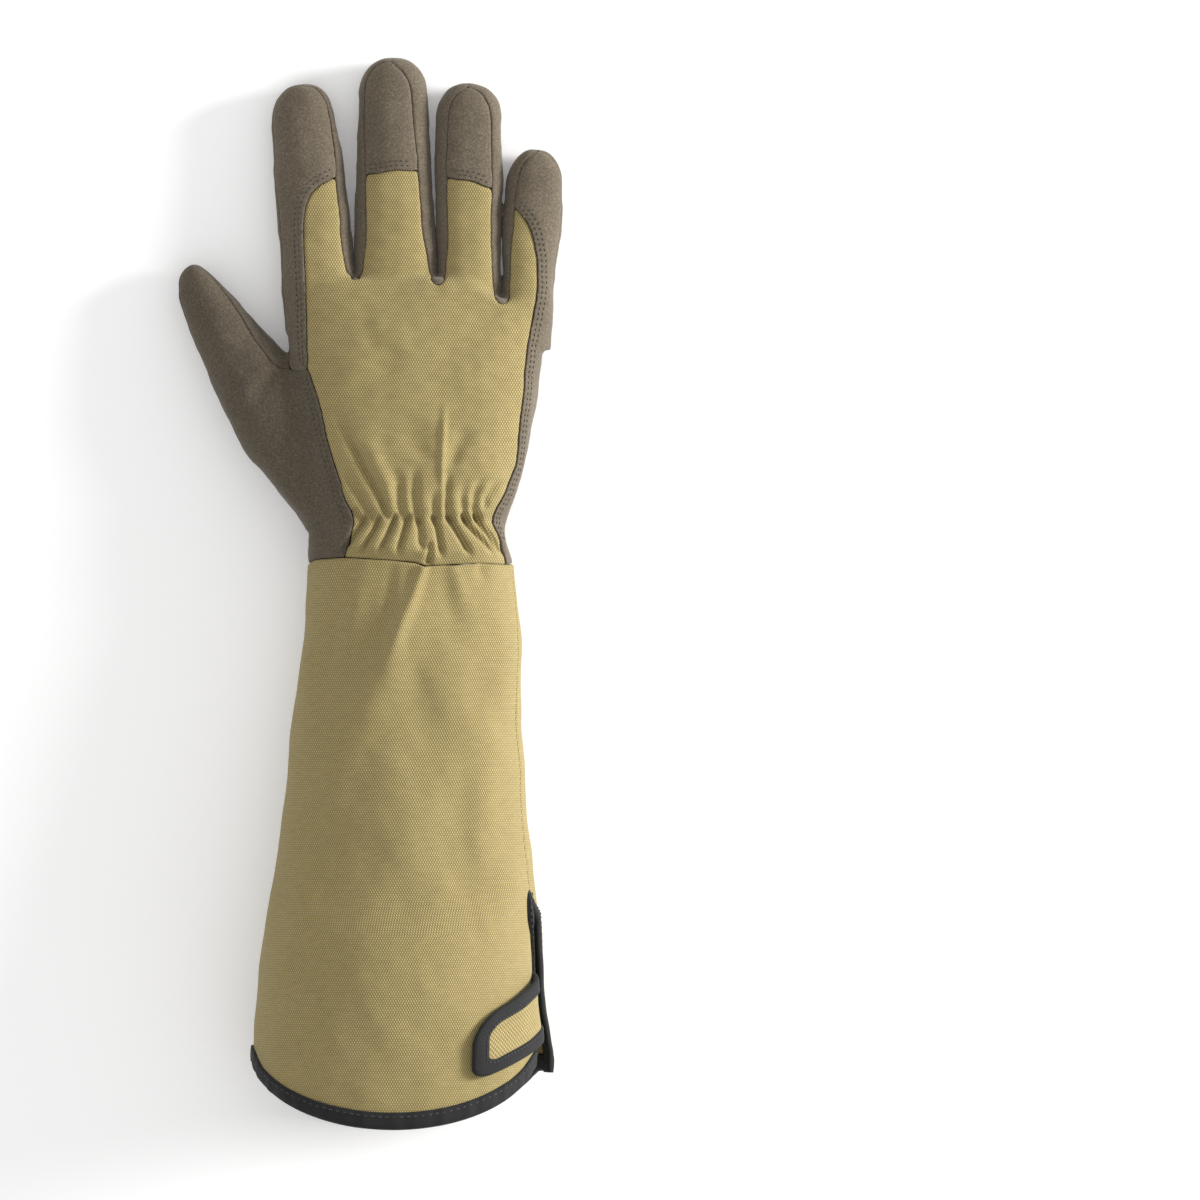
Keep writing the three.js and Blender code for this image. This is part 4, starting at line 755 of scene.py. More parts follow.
def detail(co, normal):
    """How far the skin's cloth stands out of its plain form, for gathers, folds and soft dents."""
    up = smooth(normal[:, 2] / 0.5)
    rise = -1.1 * bump(co[:, 1] - ELASTIC, 3.6) * up
    rise += 0.8 * bump(co[:, 1] - 8.0, 5.0) * up + 0.5 * bump(co[:, 1] - 27.0, 7.0) * up
    rise += up * crease_rise(co[:, :2], CREASES, 0.02, 0.05)
    for seed, wave, height in ((3, 34, 0.32), (4, 16, 0.2), (5, 8, 0.08)):
        rise += height * ripple(seed, 14, wave)(co) * smooth((co[:, 2] - 2) / 4)
    return rise


def seam_dip(x, y, z):
    """The wrist seam isn't quite straight over the back: how far it is moved along the glove."""
    at = np.interp(x, [-42, -28, -11, 1.7, 6, 12, 29, 40], [1.6, 2.7, 1.6, 0.4, -1.0, -0.8, 0.2, -0.3])
    return at * bump(y, 11.0) * smooth((z - 18) / 14)


# Each point's data: its normal, its distances from the frame's pieces, and how far it stands out
rest_data = np.concatenate([normal, near, detail(skin, normal)[:, None]], 1)
part_co, part_data, part_tri = keep_below(skin, rest_data, skin_tri, 0.12 - skin[:, 1])


def seam_shift(co):
    """Moves the seams along a finger's back a little to one side."""
    out = np.zeros(len(co))
    for i, (low, high) in SEAM_SHIFT.items():
        _, rx, ry, tx, ty, *_ = FINGERS[i]
        t = (co[:, 1] / HAND_LENGTH - ry) / (ty - ry)
        across = co[:, 0] - mix(rx, tx, t) * PALM_WIDTH
        on = smooth((15 - np.abs(across)) / 2) * smooth((co[:, 1] - 126) / 20)
        turn = smooth(across / 5) if i == 0 else np.tanh(across / 3)
        out += on * turn * mix(low, high, smooth((co[:, 1] - 150) / 40))
    return out


pieces = {}
for i, name in enumerate(LABELS[:-1]):
    d = dict(zip(LABELS[i:], part_data[:, 3 + i:3 + len(LABELS)].T))
    own = d.pop(name)
    phi = own - np.min(list(d.values()), axis=0)
    if name not in WALLS:
        plain = [v for other, v in d.items() if other not in WALLS]
        others = np.min(plain, axis=0) if plain else np.full(len(own), REACH)
        beside_wall = smooth(0.5 + (others - np.min([d[wall] for wall in WALLS], axis=0)) / 2.5)
        phi = phi - beside_wall * 1.1 * smooth((142 - part_co[:, 1]) / 18)
        if name in LABELS[:4]:
            phi = phi - beside_wall * seam_shift(part_co)
    if name == "index_side_cap":
        x, y, _ = part_co.T
        outer = smooth((-36 - x) / 4) * smooth((168 - y) / 20) * smooth((y - 84) / 6)
        phi = phi + outer * mix(3.4, 2.2, smooth((y - 110) / 50))
    gap = 0.1 * (1 - 0.85 * tip_share(part_co, 5.0))
    pieces[name] = keep_below(part_co, part_data, part_tri, phi + gap)
    part_co, part_data, part_tri = keep_below(part_co, part_data, part_tri, gap - phi)
pieces[LABELS[-1]] = (part_co, part_data, part_tri)


def largest(co, data, tri, least=30):
    """Drops specks: groups of triangles that hold fewer points than this."""
    group = np.arange(len(co))
    e = edges_of(tri)
    for _ in range(400):
        a = group.copy()
        np.minimum.at(a, e[:, 0], group[e[:, 1]])
        np.minimum.at(a, e[:, 1], group[e[:, 0]])
        a = a[a]
        if (a == group).all():
            break
        group = a
    size = np.bincount(group, minlength=len(co))
    return compact(co, data, tri[(size[group] >= least)[tri[:, 0]]])


def even_rim(co, tri, rounds=16, steps=4, spread=10):
    """Evens out the wobble of a piece's cut edges, and moves the points near them along. Corners stay."""
    rim = rim_of(tri)
    ahead, behind = -np.ones(len(co), np.int64), -np.ones(len(co), np.int64)
    ahead[rim[:, 0]] = rim[:, 1]
    behind[rim[:, 1]] = rim[:, 0]
    on = np.where((ahead >= 0) & (behind >= 0))[0]
    p = co.copy()
    for _ in range(5):
        p[on] += 0.5 * (0.5 * (p[behind[on]] + p[ahead[on]]) - p[on])
    a, b = on.copy(), on.copy()
    for _ in range(steps):
        a = np.where(behind[a] >= 0, behind[a], a)
        b = np.where(ahead[b] >= 0, ahead[b], b)
    u, v = p[on] - p[a], p[b] - p[on]
    cosine = (u * v).sum(1) / np.maximum(np.linalg.norm(u, axis=1) * np.linalg.norm(v, axis=1), 1e-9)
    free = smooth((cosine - 0.15) / 0.4)[:, None]
    for _ in range(rounds):
        p[on] += 0.5 * free * (0.5 * (p[behind[on]] + p[ahead[on]]) - p[on])
    move = p - co
    held = np.zeros(len(co), bool)
    held[on] = True
    edges = edges_of(tri)
    for _ in range(spread):
        nearby = relax(move, edges, len(co), 1, 0.0)
        move[~held] = nearby[~held]
    return co + move


SEWN_TO_BACK = ("index_side_cap", "middle_tip_cap", "ring_tip_cap", "little_side_cap", "thumb_back", "palm_panel")
shapes = {}
for name in LABELS:
    co, data, tri = largest(*pieces[name])
    co = even_rim(co, tri)
    n = unit(data[:, :3])
    rim = rim_cloud(co, tri)
    depth = 0.55 * (1 - 0.95 * tip_share(co, 4.5))
    if name in ("index_side_cap", "little_side_cap", "thumb_back", "palm_panel"):
        # one leather piece meets the next at the glove's side, where the seam is flatter
        meet = 82 if co[:, 0].mean() < -10 else 87
        depth = depth * (1 - 0.7 * bump(co[:, 1] - meet, 7) * smooth((np.abs(co[:, 0] + 3) - 30) / 10))
    pinch = -depth * roll_off(distance_to(co, rim), 1.5)
    lap = np.zeros(len(co))
    if name in SEWN_TO_BACK:
        # the leather lies over the canvas's edge
        back_d = distance_to(co, shapes["back_panel"][4])
        lap = np.exp(-(np.maximum(back_d - 4.5, 0) / 4.0) ** 2) * smooth((n[:, 2] - 0.1) / 0.3)
        pinch = pinch * (1 - lap * smooth((1.6 - back_d) / 0.8)) - 0.25 * lap * roll_off(back_d, 0.7)
    out = co + n * (data[:, -1] + pinch + 0.45 * lap)[:, None]
    out[:, 1] += seam_dip(*out.T)
    out[:, 2] = np.maximum(out[:, 2], 0.15)
    shapes[name] = (co, out, n, tri, rim)
    material, slot = (canvas, "canvas") if name == "back_panel" else (leather, "leather")
    # the thumb's pieces take the darker copy of the leather: painted shade, not a different hide
    if name.startswith("thumb"):
        material = thumb_leather_painted_shade
    made = shell(name, out, out - n * LEATHER_THICKNESS, tri, material, slot, np.tile(co[:, :2], (2, 1)))


# Stitches

def trace(co, tri, value, level, mask=None):
    """Lines along a mesh where a value reaches a level, each as a list of points."""
    f = value - level
    f = np.where(np.abs(f) < 1e-6, 1e-6, f)
    s = f[tri] > 0
    cross = (s.sum(1) % 3) != 0
    if mask is not None:
        cross &= mask[tri].all(1)
    links, where = {}, {}
    for t in tri[cross]:
        ends = []
        for a, b in ((t[0], t[1]), (t[1], t[2]), (t[2], t[0])):
            if (f[a] > 0) != (f[b] > 0):
                key = (min(a, b), max(a, b))
                if key not in where:
                    u = f[key[0]] / (f[key[0]] - f[key[1]])
                    where[key] = mix(co[key[0]], co[key[1]], u)
                ends.append(key)
        if len(ends) == 2:
            links.setdefault(ends[0], []).append(ends[1])
            links.setdefault(ends[1], []).append(ends[0])
    lines, seen = [], set()
    starts = [k for k in links if len(links[k]) == 1] + list(links)
    for start in starts:
        if start in seen:
            continue
        line, at = [], start
        while at is not None:
            seen.add(at)
            line.append(where[at])
            at = next((k for k in links[at] if k not in seen), None)
        if len(line) > 5:
            lines.append(np.array(line))
    return lines


stitch_runs = {"dark": [], "grey": []}


def sew(kind, line, ups, pitch, length, lift, start=1.0, spare=1.5):
    """Remembers a row of stitches along a line of points. ups is the way out of the cloth."""
    run, ups = run_of(line), np.broadcast_to(ups, line.shape)
    for k in range(int((run[-1] - spare) / pitch)):
        s = start + k * pitch
        p = np.array([[np.interp(s + t * length, run, line[:, c]) for c in range(3)] for t in (0, 0.5, 1)])
        up = np.array([np.interp(s + length / 2, run, ups[:, c]) for c in range(3)])
        stitch_runs[kind].append((p, up, lift))


def sew_dark(lines, facing, pitch=2.3, length=1.2, lift=0.1):
    """Rows of stitches along traced lines, after these are evened out a little."""
    for line in lines:
        for _ in range(4):
            line[1:-1] = 0.5 * line[1:-1] + 0.25 * (line[:-2] + line[2:])
        sew("dark", line, np.array([0.0, 0.0, facing]), pitch, length, lift, 0.8, 1.0)


def thread_mesh(name, runs, radius, material, slot):
    """All stitches of one colour: short thread arcs that dip into the cloth at both ends."""
    rings, around = 5, 6
    size, last = rings * around + 2, (rings - 1) * around
    p, up, lift = (np.array(v) for v in zip(*runs))
    along = unit(p[:, 2] - p[:, 0], 1e-9)
    side = unit(np.cross(along, up), 1e-9)
    high = np.cross(side, along)
    t, k = np.arange(rings) / (rings - 1), np.arange(around)
    arc, turn = np.sin(math.pi * t), (2 * math.pi * k / around)[:, None]
    centre = np.stack([(1 - t) * (1 - 2 * t), 4 * t * (1 - t), t * (2 * t - 1)], 1) @ p
    centre = centre + high[:, None] * (lift[:, None] + radius * (0.9 * arc - 0.75))[..., None]
    ring = np.cos(turn) * side[:, None] + np.sin(turn) * high[:, None]
    points = centre[:, :, None] + (radius * (0.55 + 0.45 * arc))[:, None, None] * ring[:, None]
    ends = p[:, [0, 2]] + high[:, None] * (lift - 0.9 * radius)[:, None, None]
    points = np.concatenate([points.reshape(len(p), -1, 3), ends], 1).reshape(-1, 3)
    points[:, 2] = np.maximum(points[:, 2], 0.02)
    row, ahead = np.arange(rings - 1)[:, None] * around, (k + 1) % around
    quads = np.stack([row + k, row + ahead, row + ahead + around, row + k + around], -1).reshape(-1, 4)
    caps = [(ahead, k, size - 2 + 0 * k), (last + k, last + ahead, size - 1 + 0 * k)]
    tris = np.array(caps).transpose(2, 0, 1).reshape(-1, 3)
    starts = np.arange(len(p))[:, None, None] * size
    return add_object(name, points, [(f + starts).reshape(-1, f.shape[1]) for f in (quads, tris)], material, slot)


# The gauntlet

gauntlet_flare, gauntlet_drift = curves(GAUNTLET_ROWS, 0.03, 0.03)
HEM_SIDE = -GAUNTLET_LENGTH + HEM_DROP
SLIT_TOP = HEM_SIDE + SLIT_LENGTH
HEM_HALF = HEM_WIDTH / 2 * 1.01
SLIT_SPRING = 2.4
PALM_CORNER = 8.0
gauntlet_noise = [(ripple(21, 12, 60), 0.55), (ripple(22, 14, 26), 0.22), (ripple(23, 14, 11), 0.07)]

# Creases that are laid out in plan: points, half width at each end, height, fades
GAUNTLET_CREASES = [
    ([(6.0, 2.0), (1.0, -14.0), (-3.5, -25.0), (-7.5, -37.0), (-12.0, -52.0)], 1.8, 4.5, 1.9, 0.05, 0.6),
    ([(0.5, -1.0), (-4.0, -16.0), (-9.0, -32.0)], 3.0, 4.5, -0.9, 0.1, 0.5),
    ([(0.5, -36.0), (4.0, -54.0), (12.0, -84.0)], 4.0, 8.0, -1.1, 0.3, 0.5),
    ([(29.0, 0.0), (32.0, -11.0)], 2.4, 3.0, -1.1, 0.1, 0.6),
    ([(17.0, 1.0), (20.0, -12.0), (18.0, -26.0)], 2.6, 5.0, 0.8, 0.1, 0.6),
    ([(-14.0, -60.0), (-2.0, -95.0), (4.0, -140.0)], 8.0, 10.0, 0.9, 0.4, 0.4),
    ([(-34.0, -30.0), (-38.0, -90.0), (-42.0, -150.0)], 7.0, 9.0, -0.8, 0.3, 0.3),
    ([(24.0, -70.0), (22.0, -120.0), (14.0, -165.0)], 7.0, 9.0, -0.7, 0.4, 0.4),
]


def fold_rise(angle, along):
    rise = 0
    for at, slant, start, end, height, spread in GAUNTLET_FOLDS:
        t = (along - start) / (end - start)
        off = (np.degrees(angle) - at - slant * t) / spread
        rise = rise + height * np.sin(math.pi * np.clip(t, 0, 1)) ** 1.2 * np.exp(-off * off)
    return rise


def slit_share(y):
    return np.clip((SLIT_TOP - y) / SLIT_LENGTH, 0, 1)


def gauntlet_point(angle, y, spring):
    """A point of the gauntlet's cloth: angle from the outer side over the back, and y along it. Beside the slit the
    palm's cloth springs out, and the back's is tucked in."""
    angle, y = np.broadcast_arrays(np.asarray(angle, float), np.asarray(y, float))
    along = -y / GAUNTLET_LENGTH
    flare = gauntlet_flare(along)
    half = mix(WRIST_WIDTH, HEM_WIDTH, flare) / 2
    tall = mix(WRIST_THICKNESS, HEM_THICKNESS, flare)
    middle = GAUNTLET_REST + tall * 0.43
    c, n = np.cos(angle), np.sin(angle)
    side = np.sign(c) * np.abs(c) ** (2 / 2.15)
    up = np.sign(n) * np.abs(n) ** (2 / np.where(n > 0, 2.15, 2.6))
    rise = fold_rise(angle, along)
    x = gauntlet_drift(along) * GAUNTLET_DRIFT + side * (half + rise * np.abs(c))
    z = middle + up * np.where(n > 0, GAUNTLET_REST + tall - middle + rise, middle - GAUNTLET_REST + 1.5)
    z = blend_max(z, GAUNTLET_REST, 2.0)
    share = slit_share(y)
    if spring:
        push = SLIT_SPRING * share ** 1.3 * np.maximum(c, 0) ** 4
        x = x + push + (0.9 + 3.0 * share ** 3) * smooth(share * 2.5) * bump(n, 0.14) * (c > 0)
    else:
        x = x - 1.7 * smooth(share * 5) * bump(n, 0.13) * (c > 0)
    p = np.stack([x, y, z], -1)
    flat = p.reshape(-1, 3)
    wave = sum(f(flat) * h for f, h in gauntlet_noise) * smooth((flat[:, 2] - 1.5) / 5)
    wave += smooth(n.ravel() / 0.6) * crease_rise(flat[:, :2], GAUNTLET_CREASES, 0.05, 0.02)
    under = 1 - smooth((flat[:, 2] - 0.5) / 4)
    sag = 0.5 + 0.5 * np.clip(gauntlet_noise[1][0](flat * [1, 0.5, 1]), -1, 1)
    flat[:, 2] += 1.1 * under * sag * smooth(-flat[:, 1] / 20) * smooth((flat[:, 1] + 225) / 20)
    return p + np.stack([c, 0 * c, n], -1) * wave.reshape(c.shape)[..., None]


def gauntlet_normal(angle, y, spring):
    e = 0.004
    du = gauntlet_point(angle + e, y, spring) - gauntlet_point(angle - e, y, spring)
    dv = gauntlet_point(angle, y + 0.4, spring) - gauntlet_point(angle, y - 0.4, spring)
    return unit(np.cross(dv, du), 1e-9)


def hem_y(x, palm=0.0):
    """Where the cloth ends: a drooping curve, whose outer corner hangs lower on the palm's side."""
    t = np.clip((x - GAUNTLET_DRIFT) / HEM_HALF, -1, 1)
    drop = HEM_DROP * np.sqrt(1 - t * t)
    return HEM_SIDE - mix(drop, blend_max(drop, PALM_CORNER, 3.0), palm * (t > 0.5))


def hem_at(angle):
    """The y where the cloth ends, for an angle round the gauntlet."""
    y = np.full(np.shape(angle), HEM_SIDE - 10.0)
    palm = (np.asarray(angle) > math.pi) * 1.0
    for _ in range(12):
        y = 0.5 * y + 0.5 * hem_y(gauntlet_point(angle, y, False)[..., 0], palm)
    return y


def back_edge(y):
    """The angle where the back's cloth ends at the outer side: at the seam, or at the slit's edge."""
    along = [0, 15, 48, 115, 141, 156, 175, 215]
    return np.interp(-y, along, [0.12, 0.2, 0.3, 0.29, 0.22, 0.02, -0.04, -0.06])


def palm_edge(y):
    """The angle where the palm's cloth ends there: at the seam, and below it along the slit."""
    return 2 * math.pi + back_edge(y) * (1 - smooth((SLIT_TOP - y) / 11)) - 0.003


def cloth_grid(name, outer, inner, uv, turned=False):
    """A sheet from two grids of points, its outer and inner face, closed round its edge."""
    i = np.arange(uv.size // 2).reshape(uv.shape[:2])
    k = i.size
    quads = np.stack([i[:-1, :-1], i[:-1, 1:], i[1:, 1:], i[1:, :-1]], -1).reshape(-1, 4)
    rim = np.concatenate([i[0], i[1:, -1], i[-1, -2::-1], i[-2:0:-1, 0]])
    ahead = np.roll(rim, -1)
    faces = [quads, quads[:, ::-1] + k, np.stack([ahead, rim, rim + k, ahead + k], 1)]
    if turned:
        faces = [f[:, ::-1] for f in faces]
    co = np.concatenate([outer.reshape(-1, 3), inner.reshape(-1, 3)])
    made = add_look(name, co, faces, canvas, "canvas", np.tile(uv.reshape(-1, 2), (2, 1)))


def cloth_half(name, start, end, pinch_start, pinch_end, sprung):
    """One half of the gauntlet between two angles that may change along it."""
    rows, cols = ((300, 300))
    v = np.linspace(0, 1, rows)[:, None]
    u = np.linspace(0, 1, cols)[None]
    y = np.zeros((rows, cols))
    for _ in range(4):
        y = mix(-0.14, hem_at(mix(start(y), end(y), u)) + 1.0, v)
    a = mix(start(y), end(y), u)
    p, n = gauntlet_point(a, y, sprung), gauntlet_normal(a, y, sprung)
    arc = np.pad(np.cumsum(np.linalg.norm(np.diff(p, axis=1), axis=2), axis=1), ((0, 0), (1, 0)))
    depth = np.zeros((rows, cols))
    for d, on in ((arc, pinch_start(y)), (arc[:, -1:] - arc, pinch_end(y)), (-0.14 - y, 1)):
        depth -= 0.65 * on * roll_off(d, 1.6)
    p = p + n * depth[..., None]
    p[..., 1] += seam_dip(*np.moveaxis(p, -1, 0))
    uv = np.stack([arc - arc[:, cols // 2][:, None], y], -1)
    cloth_grid(name, p, p - n * CANVAS_THICKNESS, uv)


def sewn(y):
    return 1 + 0 * y


def sewn_to_slit(y):
    return 1 - smooth(slit_share(y) * 8)


cloth_half("gauntlet_back", back_edge, lambda y: math.pi + 0 * y, sewn_to_slit, sewn, False)
cloth_half("gauntlet_palm", lambda y: math.pi + 0.003 + 0 * y, palm_edge, sewn, sewn_to_slit, True)


def tape_tube(name, sections, along):
    """A tape from its sections, rows x points x 3, and each row's place along it."""
    rows, count = sections.shape[:2]
    i = np.arange(rows * count).reshape(rows, count)
    j = np.roll(i, -1, axis=1)
    k = np.full(count, rows * count)
    faces = [
        np.stack([i[:-1], j[:-1], j[1:], i[1:]], -1).reshape(-1, 4),
        np.stack([j[0], i[0], k], 1), np.stack([k + 1, i[-1], j[-1]], 1)]
    co = np.concatenate([sections.reshape(-1, 3), sections[[0, -1]].mean(1)])
    uv = np.stack([np.repeat(along, count), np.tile(run_of(sections[rows // 2]), rows)], 1)
    uv = np.concatenate([uv, uv[[0, (rows - 1) * count]]])
    # the faces point outwards
    a, b, _, d = co[faces[0][0]]
    if np.cross(b - a, d - a) @ (a - sections[0].mean(0)) < 0:
        faces = [f[:, ::-1] for f in faces]
    add_look(name, co, faces, tape, "binding", uv)


def fold_section(w):
    """A folded tape's section round the canvas's edge: out of the cloth's face, and back from its edge."""
    thick, cloth, edge = 0.95, CANVAS_THICKNESS, 0.9
    outer = [
        (0.15, w), (0.6 * thick, w + 0.05), (thick, w - 0.5), (thick * 1.08, w * 0.6), (thick * 1.02, w * 0.25),
        (thick * 0.8, -edge * 0.35), (-0.05, -edge)]
    inner = [
        (0.15, w), (0.6 * thick, w + 0.05), (thick, w - 0.5), (thick * 1.05, w * 0.5), (thick * 0.9, w * 0.1),
        (thick * 0.7, -edge * 0.35), (-0.05, -edge)]
    return outer + [(-cloth / 2, -edge * 1.12)] + [(-cloth - out, back) for out, back in inner[::-1]]


def hem_binding(name, start, end, spring):
    """The tape round the hem between two angles, with its row of stitches."""
    a = np.linspace(start, end, 240)
    edge = hem_at(a)
    sections = []
    wobble = 0.12 * np.sin(a * 37) + 0.08 * np.sin(a * 61 + 1)
    for out, back in fold_section(BINDING_WIDTH - 0.6):
        y = edge + 0.9 + back
        lift = (out + wobble * (out > 0))[:, None]
        sections.append(gauntlet_point(a, y, spring) + gauntlet_normal(a, y, spring) * lift)
    sections = np.stack(sections, 1)
    sections[..., 2] = np.maximum(sections[..., 2], 0.02)
    tape_tube(name, sections, run_of(sections[:, 3]))
    up = gauntlet_normal(a, edge + 4.6, spring)
    sew("grey", gauntlet_point(a, edge + BINDING_WIDTH - 1.5, spring) + up * 0.95, up, 3.0, 1.9, 0.1)


def slit_binding(name, edge_angle, direction, spring, end):
    """A folded tape along one edge of the slit. direction is +1 where the cloth goes on to larger angles."""
    y = np.linspace(SLIT_TOP + 5.0, end, 110)
    a = edge_angle(y)
    width = 5.6 * smooth((SLIT_TOP + 5.5 - y) / 16) + 1.6
    taper = mix(0.35, 1, smooth((SLIT_TOP + 5.2 - y) / 5))
    step = 0.01
    ahead = gauntlet_point(a + direction * step, y, spring) - gauntlet_point(a, y, spring)
    rate = np.linalg.norm(ahead, axis=1) / step
    sections = []
    for out, back in fold_section(1.0):
        angle = a + direction * ((back * width if back > 0 else back) + 0.6) / rate
        lift = ((out + 0.65) * taper - 0.65)[:, None]
        sections.append(gauntlet_point(angle, y, spring) + gauntlet_normal(angle, y, spring) * lift)
    tape_tube(name, np.stack(sections, 1), SLIT_TOP - y)
    angle = a + direction * (width - 1.0) / rate
    up = gauntlet_normal(angle, y, spring)
    sew("grey", gauntlet_point(angle, y, spring) + up * 0.95, up, 2.8, 1.7, 0.1)


hem_binding("hem_binding_back", float(back_edge(HEM_SIDE - 2.0)), math.pi - 0.004, False)
hem_binding("hem_binding_palm", math.pi + 0.004, 2 * math.pi - 0.004, True)
slit_binding("slit_binding_back", back_edge, 1, False, HEM_SIDE + 3.0)
slit_binding("slit_binding_palm", lambda y: palm_edge(y) - 2 * math.pi, -1, True, HEM_SIDE - PALM_CORNER - 0.9)


# The strap

STRAP_START = (-0.2 * math.pi, -0.716)
STRAP_END = (0.33 * math.pi, -0.863)
STRAP_ROOT = 23.0


def strap_point(u, w, lift):
    """A point of the strap: it comes from inside the slit's palm edge and lies over the back."""
    share = u / STRAP_REACH
    angle = mix(STRAP_START[0], STRAP_END[0], share)
    y = mix(STRAP_START[1], STRAP_END[1], share) * GAUNTLET_LENGTH + w * (1 + 0.16 * (1 - share))
    spring = SLIT_SPRING * slit_share(y) ** 1.3 * np.maximum(np.cos(np.minimum(angle, 0)), 0) ** 4
    spring = spring * smooth((0.26 * math.pi - angle) / (0.24 * math.pi))
    spring = spring - 4.6 * (1 - smooth((angle + 0.02) / 0.34))
    n = gauntlet_normal(angle, y, False)
    return gauntlet_point(angle, y, False) + n * (1.15 + lift + spring)[..., None], n


def strap_outline(inset, steps=22, run=34):
    """The strap's rim: along its lower edge, round its end and back along its upper edge."""
    half = STRAP_WIDTH / 2 - inset
    tip = STRAP_REACH - inset * 0.85
    low_r, high_r = max(6.0 - inset * 0.5, 1.5), max(10.0 - inset * 0.8, 2.0)
    t = np.linspace(0, math.pi / 2, steps)
    low = np.stack([tip - low_r + low_r * np.sin(t), -half + low_r * (1 - np.cos(t))], 1)
    high = np.stack([tip - high_r + high_r * np.cos(t), half - high_r * (1 - np.sin(t))], 1)
    first = np.stack([np.linspace(STRAP_ROOT, low[0, 0], run)[:-1], np.full(run - 1, -half)], 1)
    last = np.stack([np.linspace(high[-1, 0], STRAP_ROOT, run)[1:], np.full(run - 1, half)], 1)
    across = np.linspace(low[-1], high[0], 8)[1:-1]
    return np.concatenate([first, low, across, high, last])


# The tape's section over the strap's edge: the share from its outer to its inner rim, and its height
STRAP_TAPE = [
    (0.0, 0.25), (0.0, 0.75), (0.06, 0.98), (0.2, 1.08), (0.5, 1.12), (0.85, 1.05), (0.97, 0.9), (1.0, 0.6),
    (0.97, 0.02), (0.5, 0.0), (0.1, 0.02)]
rim, inner_rim = strap_outline(0), strap_outline(5.9)
tape_tube("strap_binding", np.stack([
    strap_point(*mix(rim, inner_rim, share).T, high * STRAP_THICKNESS - 0.1)[0] for share, high in STRAP_TAPE], 1),
    run_of(rim))
sew("grey", *strap_point(*strap_outline(4.7).T, STRAP_THICKNESS * 1.08), 1.9, 1.2, 0.0, 1.0, 1.5)

edge = strap_outline(5.4)
half = len(edge) // 2
plan = mix(edge[:half, None], edge[::-1][:half, None], np.linspace(0, 1, 24)[None, :, None])
top, low = (strap_point(plan[..., 0], plan[..., 1], lift)[0] for lift in (1.9, 0.3))
cloth_grid("strap_canvas", top, low, plan, True)


# The palm pad and the fingertips' second layers, raised from the same skin

# Channels between two points of the palm, as shares of its width and of the hand's length
PAD_CHANNELS = [(-0.05, 0.434, 0.5, 0.289), (-0.05, 0.434, 0.42, 0.12), (-0.1, 0.131, 0.5, 0.107)]
channels = [np.array(c).reshape(2, 2) * (PALM_WIDTH, HAND_LENGTH) for c in PAD_CHANNELS]


def layer(name, thick, wide, edge):
    """What a second layer starts from: the skin under it, its triangles, normals, distance from its rim, and height.
    wide is how far its rolled edge goes in, and edge its height at the rim."""
    d = relax(distances(name, 6.0, 4, normal[:, 2] < 0.6), skin_edges, len(skin), 2)
    co, data, tri = largest(*keep_below(skin, rest_data, skin_tri, d - 0.75), 200)
    inward = distance_to(co, rim_cloud(co, tri))
    return co, tri, unit(data[:, :3]), inward, thick * mix(edge, 1.0, 1 - roll_off(inward, wide))


def raise_layer(name, co, tri, n, high):
    out = co + n * np.maximum(high, 0.25)[:, None]
    out[:, 2] = np.maximum(out[:, 2], 0.03)
    return out, shell(name, out, co - n * 0.1, tri, leather, "leather")


def palm_pad():
    """The quilted pad: a sewn rim, and channels across it."""
    co, tri, n, inward, high = layer("palm_pad", PAD_THICKNESS - 0.25, 3.2, 0.35)
    high = high - 0.9 * bump(inward - 2.6, 0.9) + 0.25 * smooth((inward - 4) / 6)
    for line in channels:
        off = line_sides(co[:, :2], line)[0]
        groove = bump(off, 1.7) + 0.35 * bump(off, 4.5)
        high = high - 1.35 * np.minimum(groove, 1) * smooth((inward - 2.0) / 2.0)
    out, made = raise_layer("palm_pad", co, tri, n, high)
    lines = trace(out, tri, inward, 2.6)
    for a, b in channels:
        x, y = b - a
        across = (co[:, :2] - a) @ np.array([-y, x]) / np.linalg.norm(b - a)
        lines += trace(out, tri, across, 0.0, inward > 3.2)
    sew_dark(lines, -1, 2.7, 1.5, 0.12)


def tip_patch(name, way):
    """A second layer on the inside of a fingertip, with two rows of stitches across its lower end."""
    co, tri, n, inward, high = layer(name, PATCH_THICKNESS, 0.9, 0.55)
    out, _ = raise_layer(name, co, tri, n, high)
    run = co[:, :2] @ way
    run -= np.percentile(run, 1)
    for level in (2.0, 4.0):
        sew_dark(trace(out, tri, run, level, inward > 0.9), -1)


palm_pad()
for finger, root_x, root_y, tip_x, tip_y, *_ in FINGERS:
    way = np.array([(tip_x - root_x) * PALM_WIDTH, (tip_y - root_y) * HAND_LENGTH])
    tip_patch(finger + "_tip_patch", way / np.linalg.norm(way))
tip_patch("thumb_tip_patch", (THUMB_TIP - THUMB_END) / np.linalg.norm(THUMB_TIP - THUMB_END))


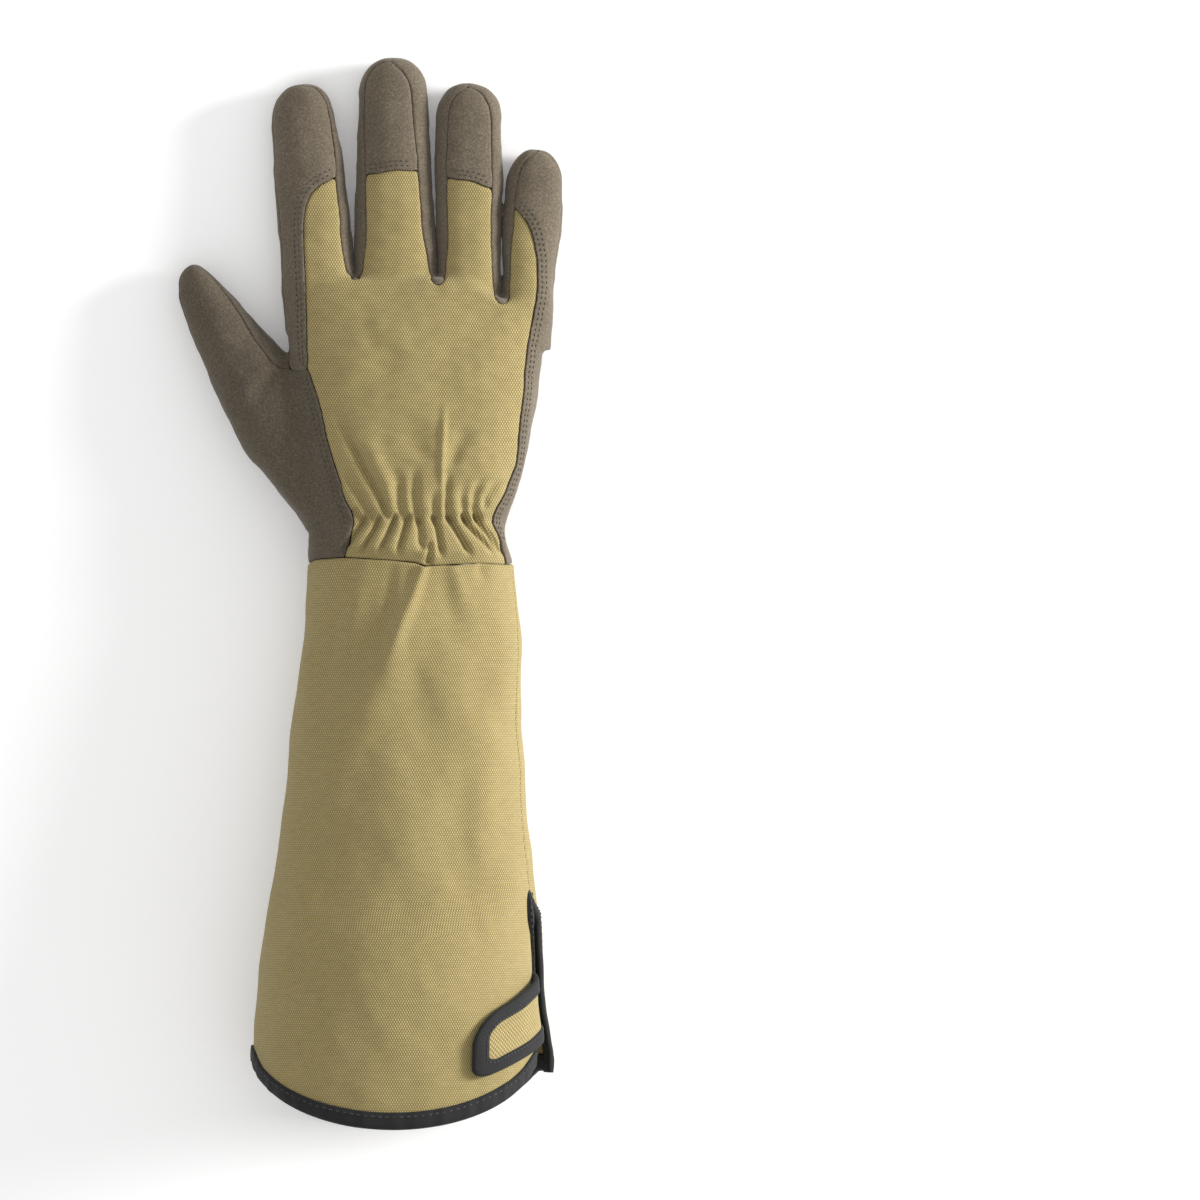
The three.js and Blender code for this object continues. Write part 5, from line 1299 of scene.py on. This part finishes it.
def beside(name, other, levels, facing):
    """Rows of stitches on a piece, beside its seam with another."""
    co, out, n, tri, rim = shapes[name]
    seam = shapes[other][4]
    away = distance_to(co, seam)
    rest_of_rim = rim[distance_to(rim, seam) > 1.5]
    clear = distance_to(co, rest_of_rim) if len(rest_of_rim) else away + 9
    for level in levels:
        sew_dark(trace(out, tri, away, level, (n[:, 2] * facing > 0.15) & (clear > 1.3) & (co[:, 1] > 7)), facing)


for name in SEWN_TO_BACK:
    beside(name, "back_panel", (2.0, 3.9), 1)
beside("palm_panel", "thumb_front", (2.2, 4.3), -1)

thread_mesh("stitches_dark", stitch_runs["dark"], 0.3, dark_thread, "leather")
thread_mesh("stitches_grey", stitch_runs["grey"], 0.26, grey_thread, "binding")


# Floor, light and camera

FLOOR_REACH = 14.0
mesh = bpy.data.meshes.new("floor")
corners = [(x * FLOOR_REACH, y * FLOOR_REACH, 0) for x, y in ((-1, -1), (1, -1), (1, 1), (-1, 1))]
mesh.from_pydata(corners, [], [(0, 1, 2, 3)])
floor = bpy.data.objects.new("floor", mesh)
bpy.context.scene.collection.objects.link(floor)
white = Look("floor_white", 0.9, 0, 0.5, 0.0)
white.put(white.shader, {
    "Base Color": (0.94, 0.94, 0.94, 1), "Emission Color": (1, 1, 1, 1), "Emission Strength": 0.12})
mesh.materials.append(white.material)

world = bpy.data.worlds.new("studio")
world.use_nodes = True
world.node_tree.nodes["Background"].inputs["Color"].default_value = (1, 1, 1, 1)
world.node_tree.nodes["Background"].inputs["Strength"].default_value = 0.83
bpy.context.scene.world = world
bpy.context.scene.view_settings.view_transform = "Standard"

light = bpy.data.lights.new("key", "AREA")
light.shape = "DISK"
light.size = 0.8
light.energy = 90
key = bpy.data.objects.new("key", light)
key.location = (2.25, 0.5, 0.62)
key.rotation_euler = (Vector((0, 0, 0.02)) - key.location).to_track_quat("-Z", "Y").to_euler()
bpy.context.scene.collection.objects.link(key)

# The camera looks straight down, from 6 m, at the place where the photograph's middle is
CAMERA_HEIGHT = 6.0
camera_data = bpy.data.cameras.new("camera")
camera_data.sensor_width = 36
camera_data.lens = 36 * (CAMERA_HEIGHT - 0.035) / 0.504
camera = bpy.data.objects.new("camera", camera_data)
camera.location = ((79.4 + SHIFT[0]) / 1000, (-15.3 + SHIFT[1]) / 1000, CAMERA_HEIGHT)
bpy.context.scene.collection.objects.link(camera)
bpy.context.scene.camera = camera
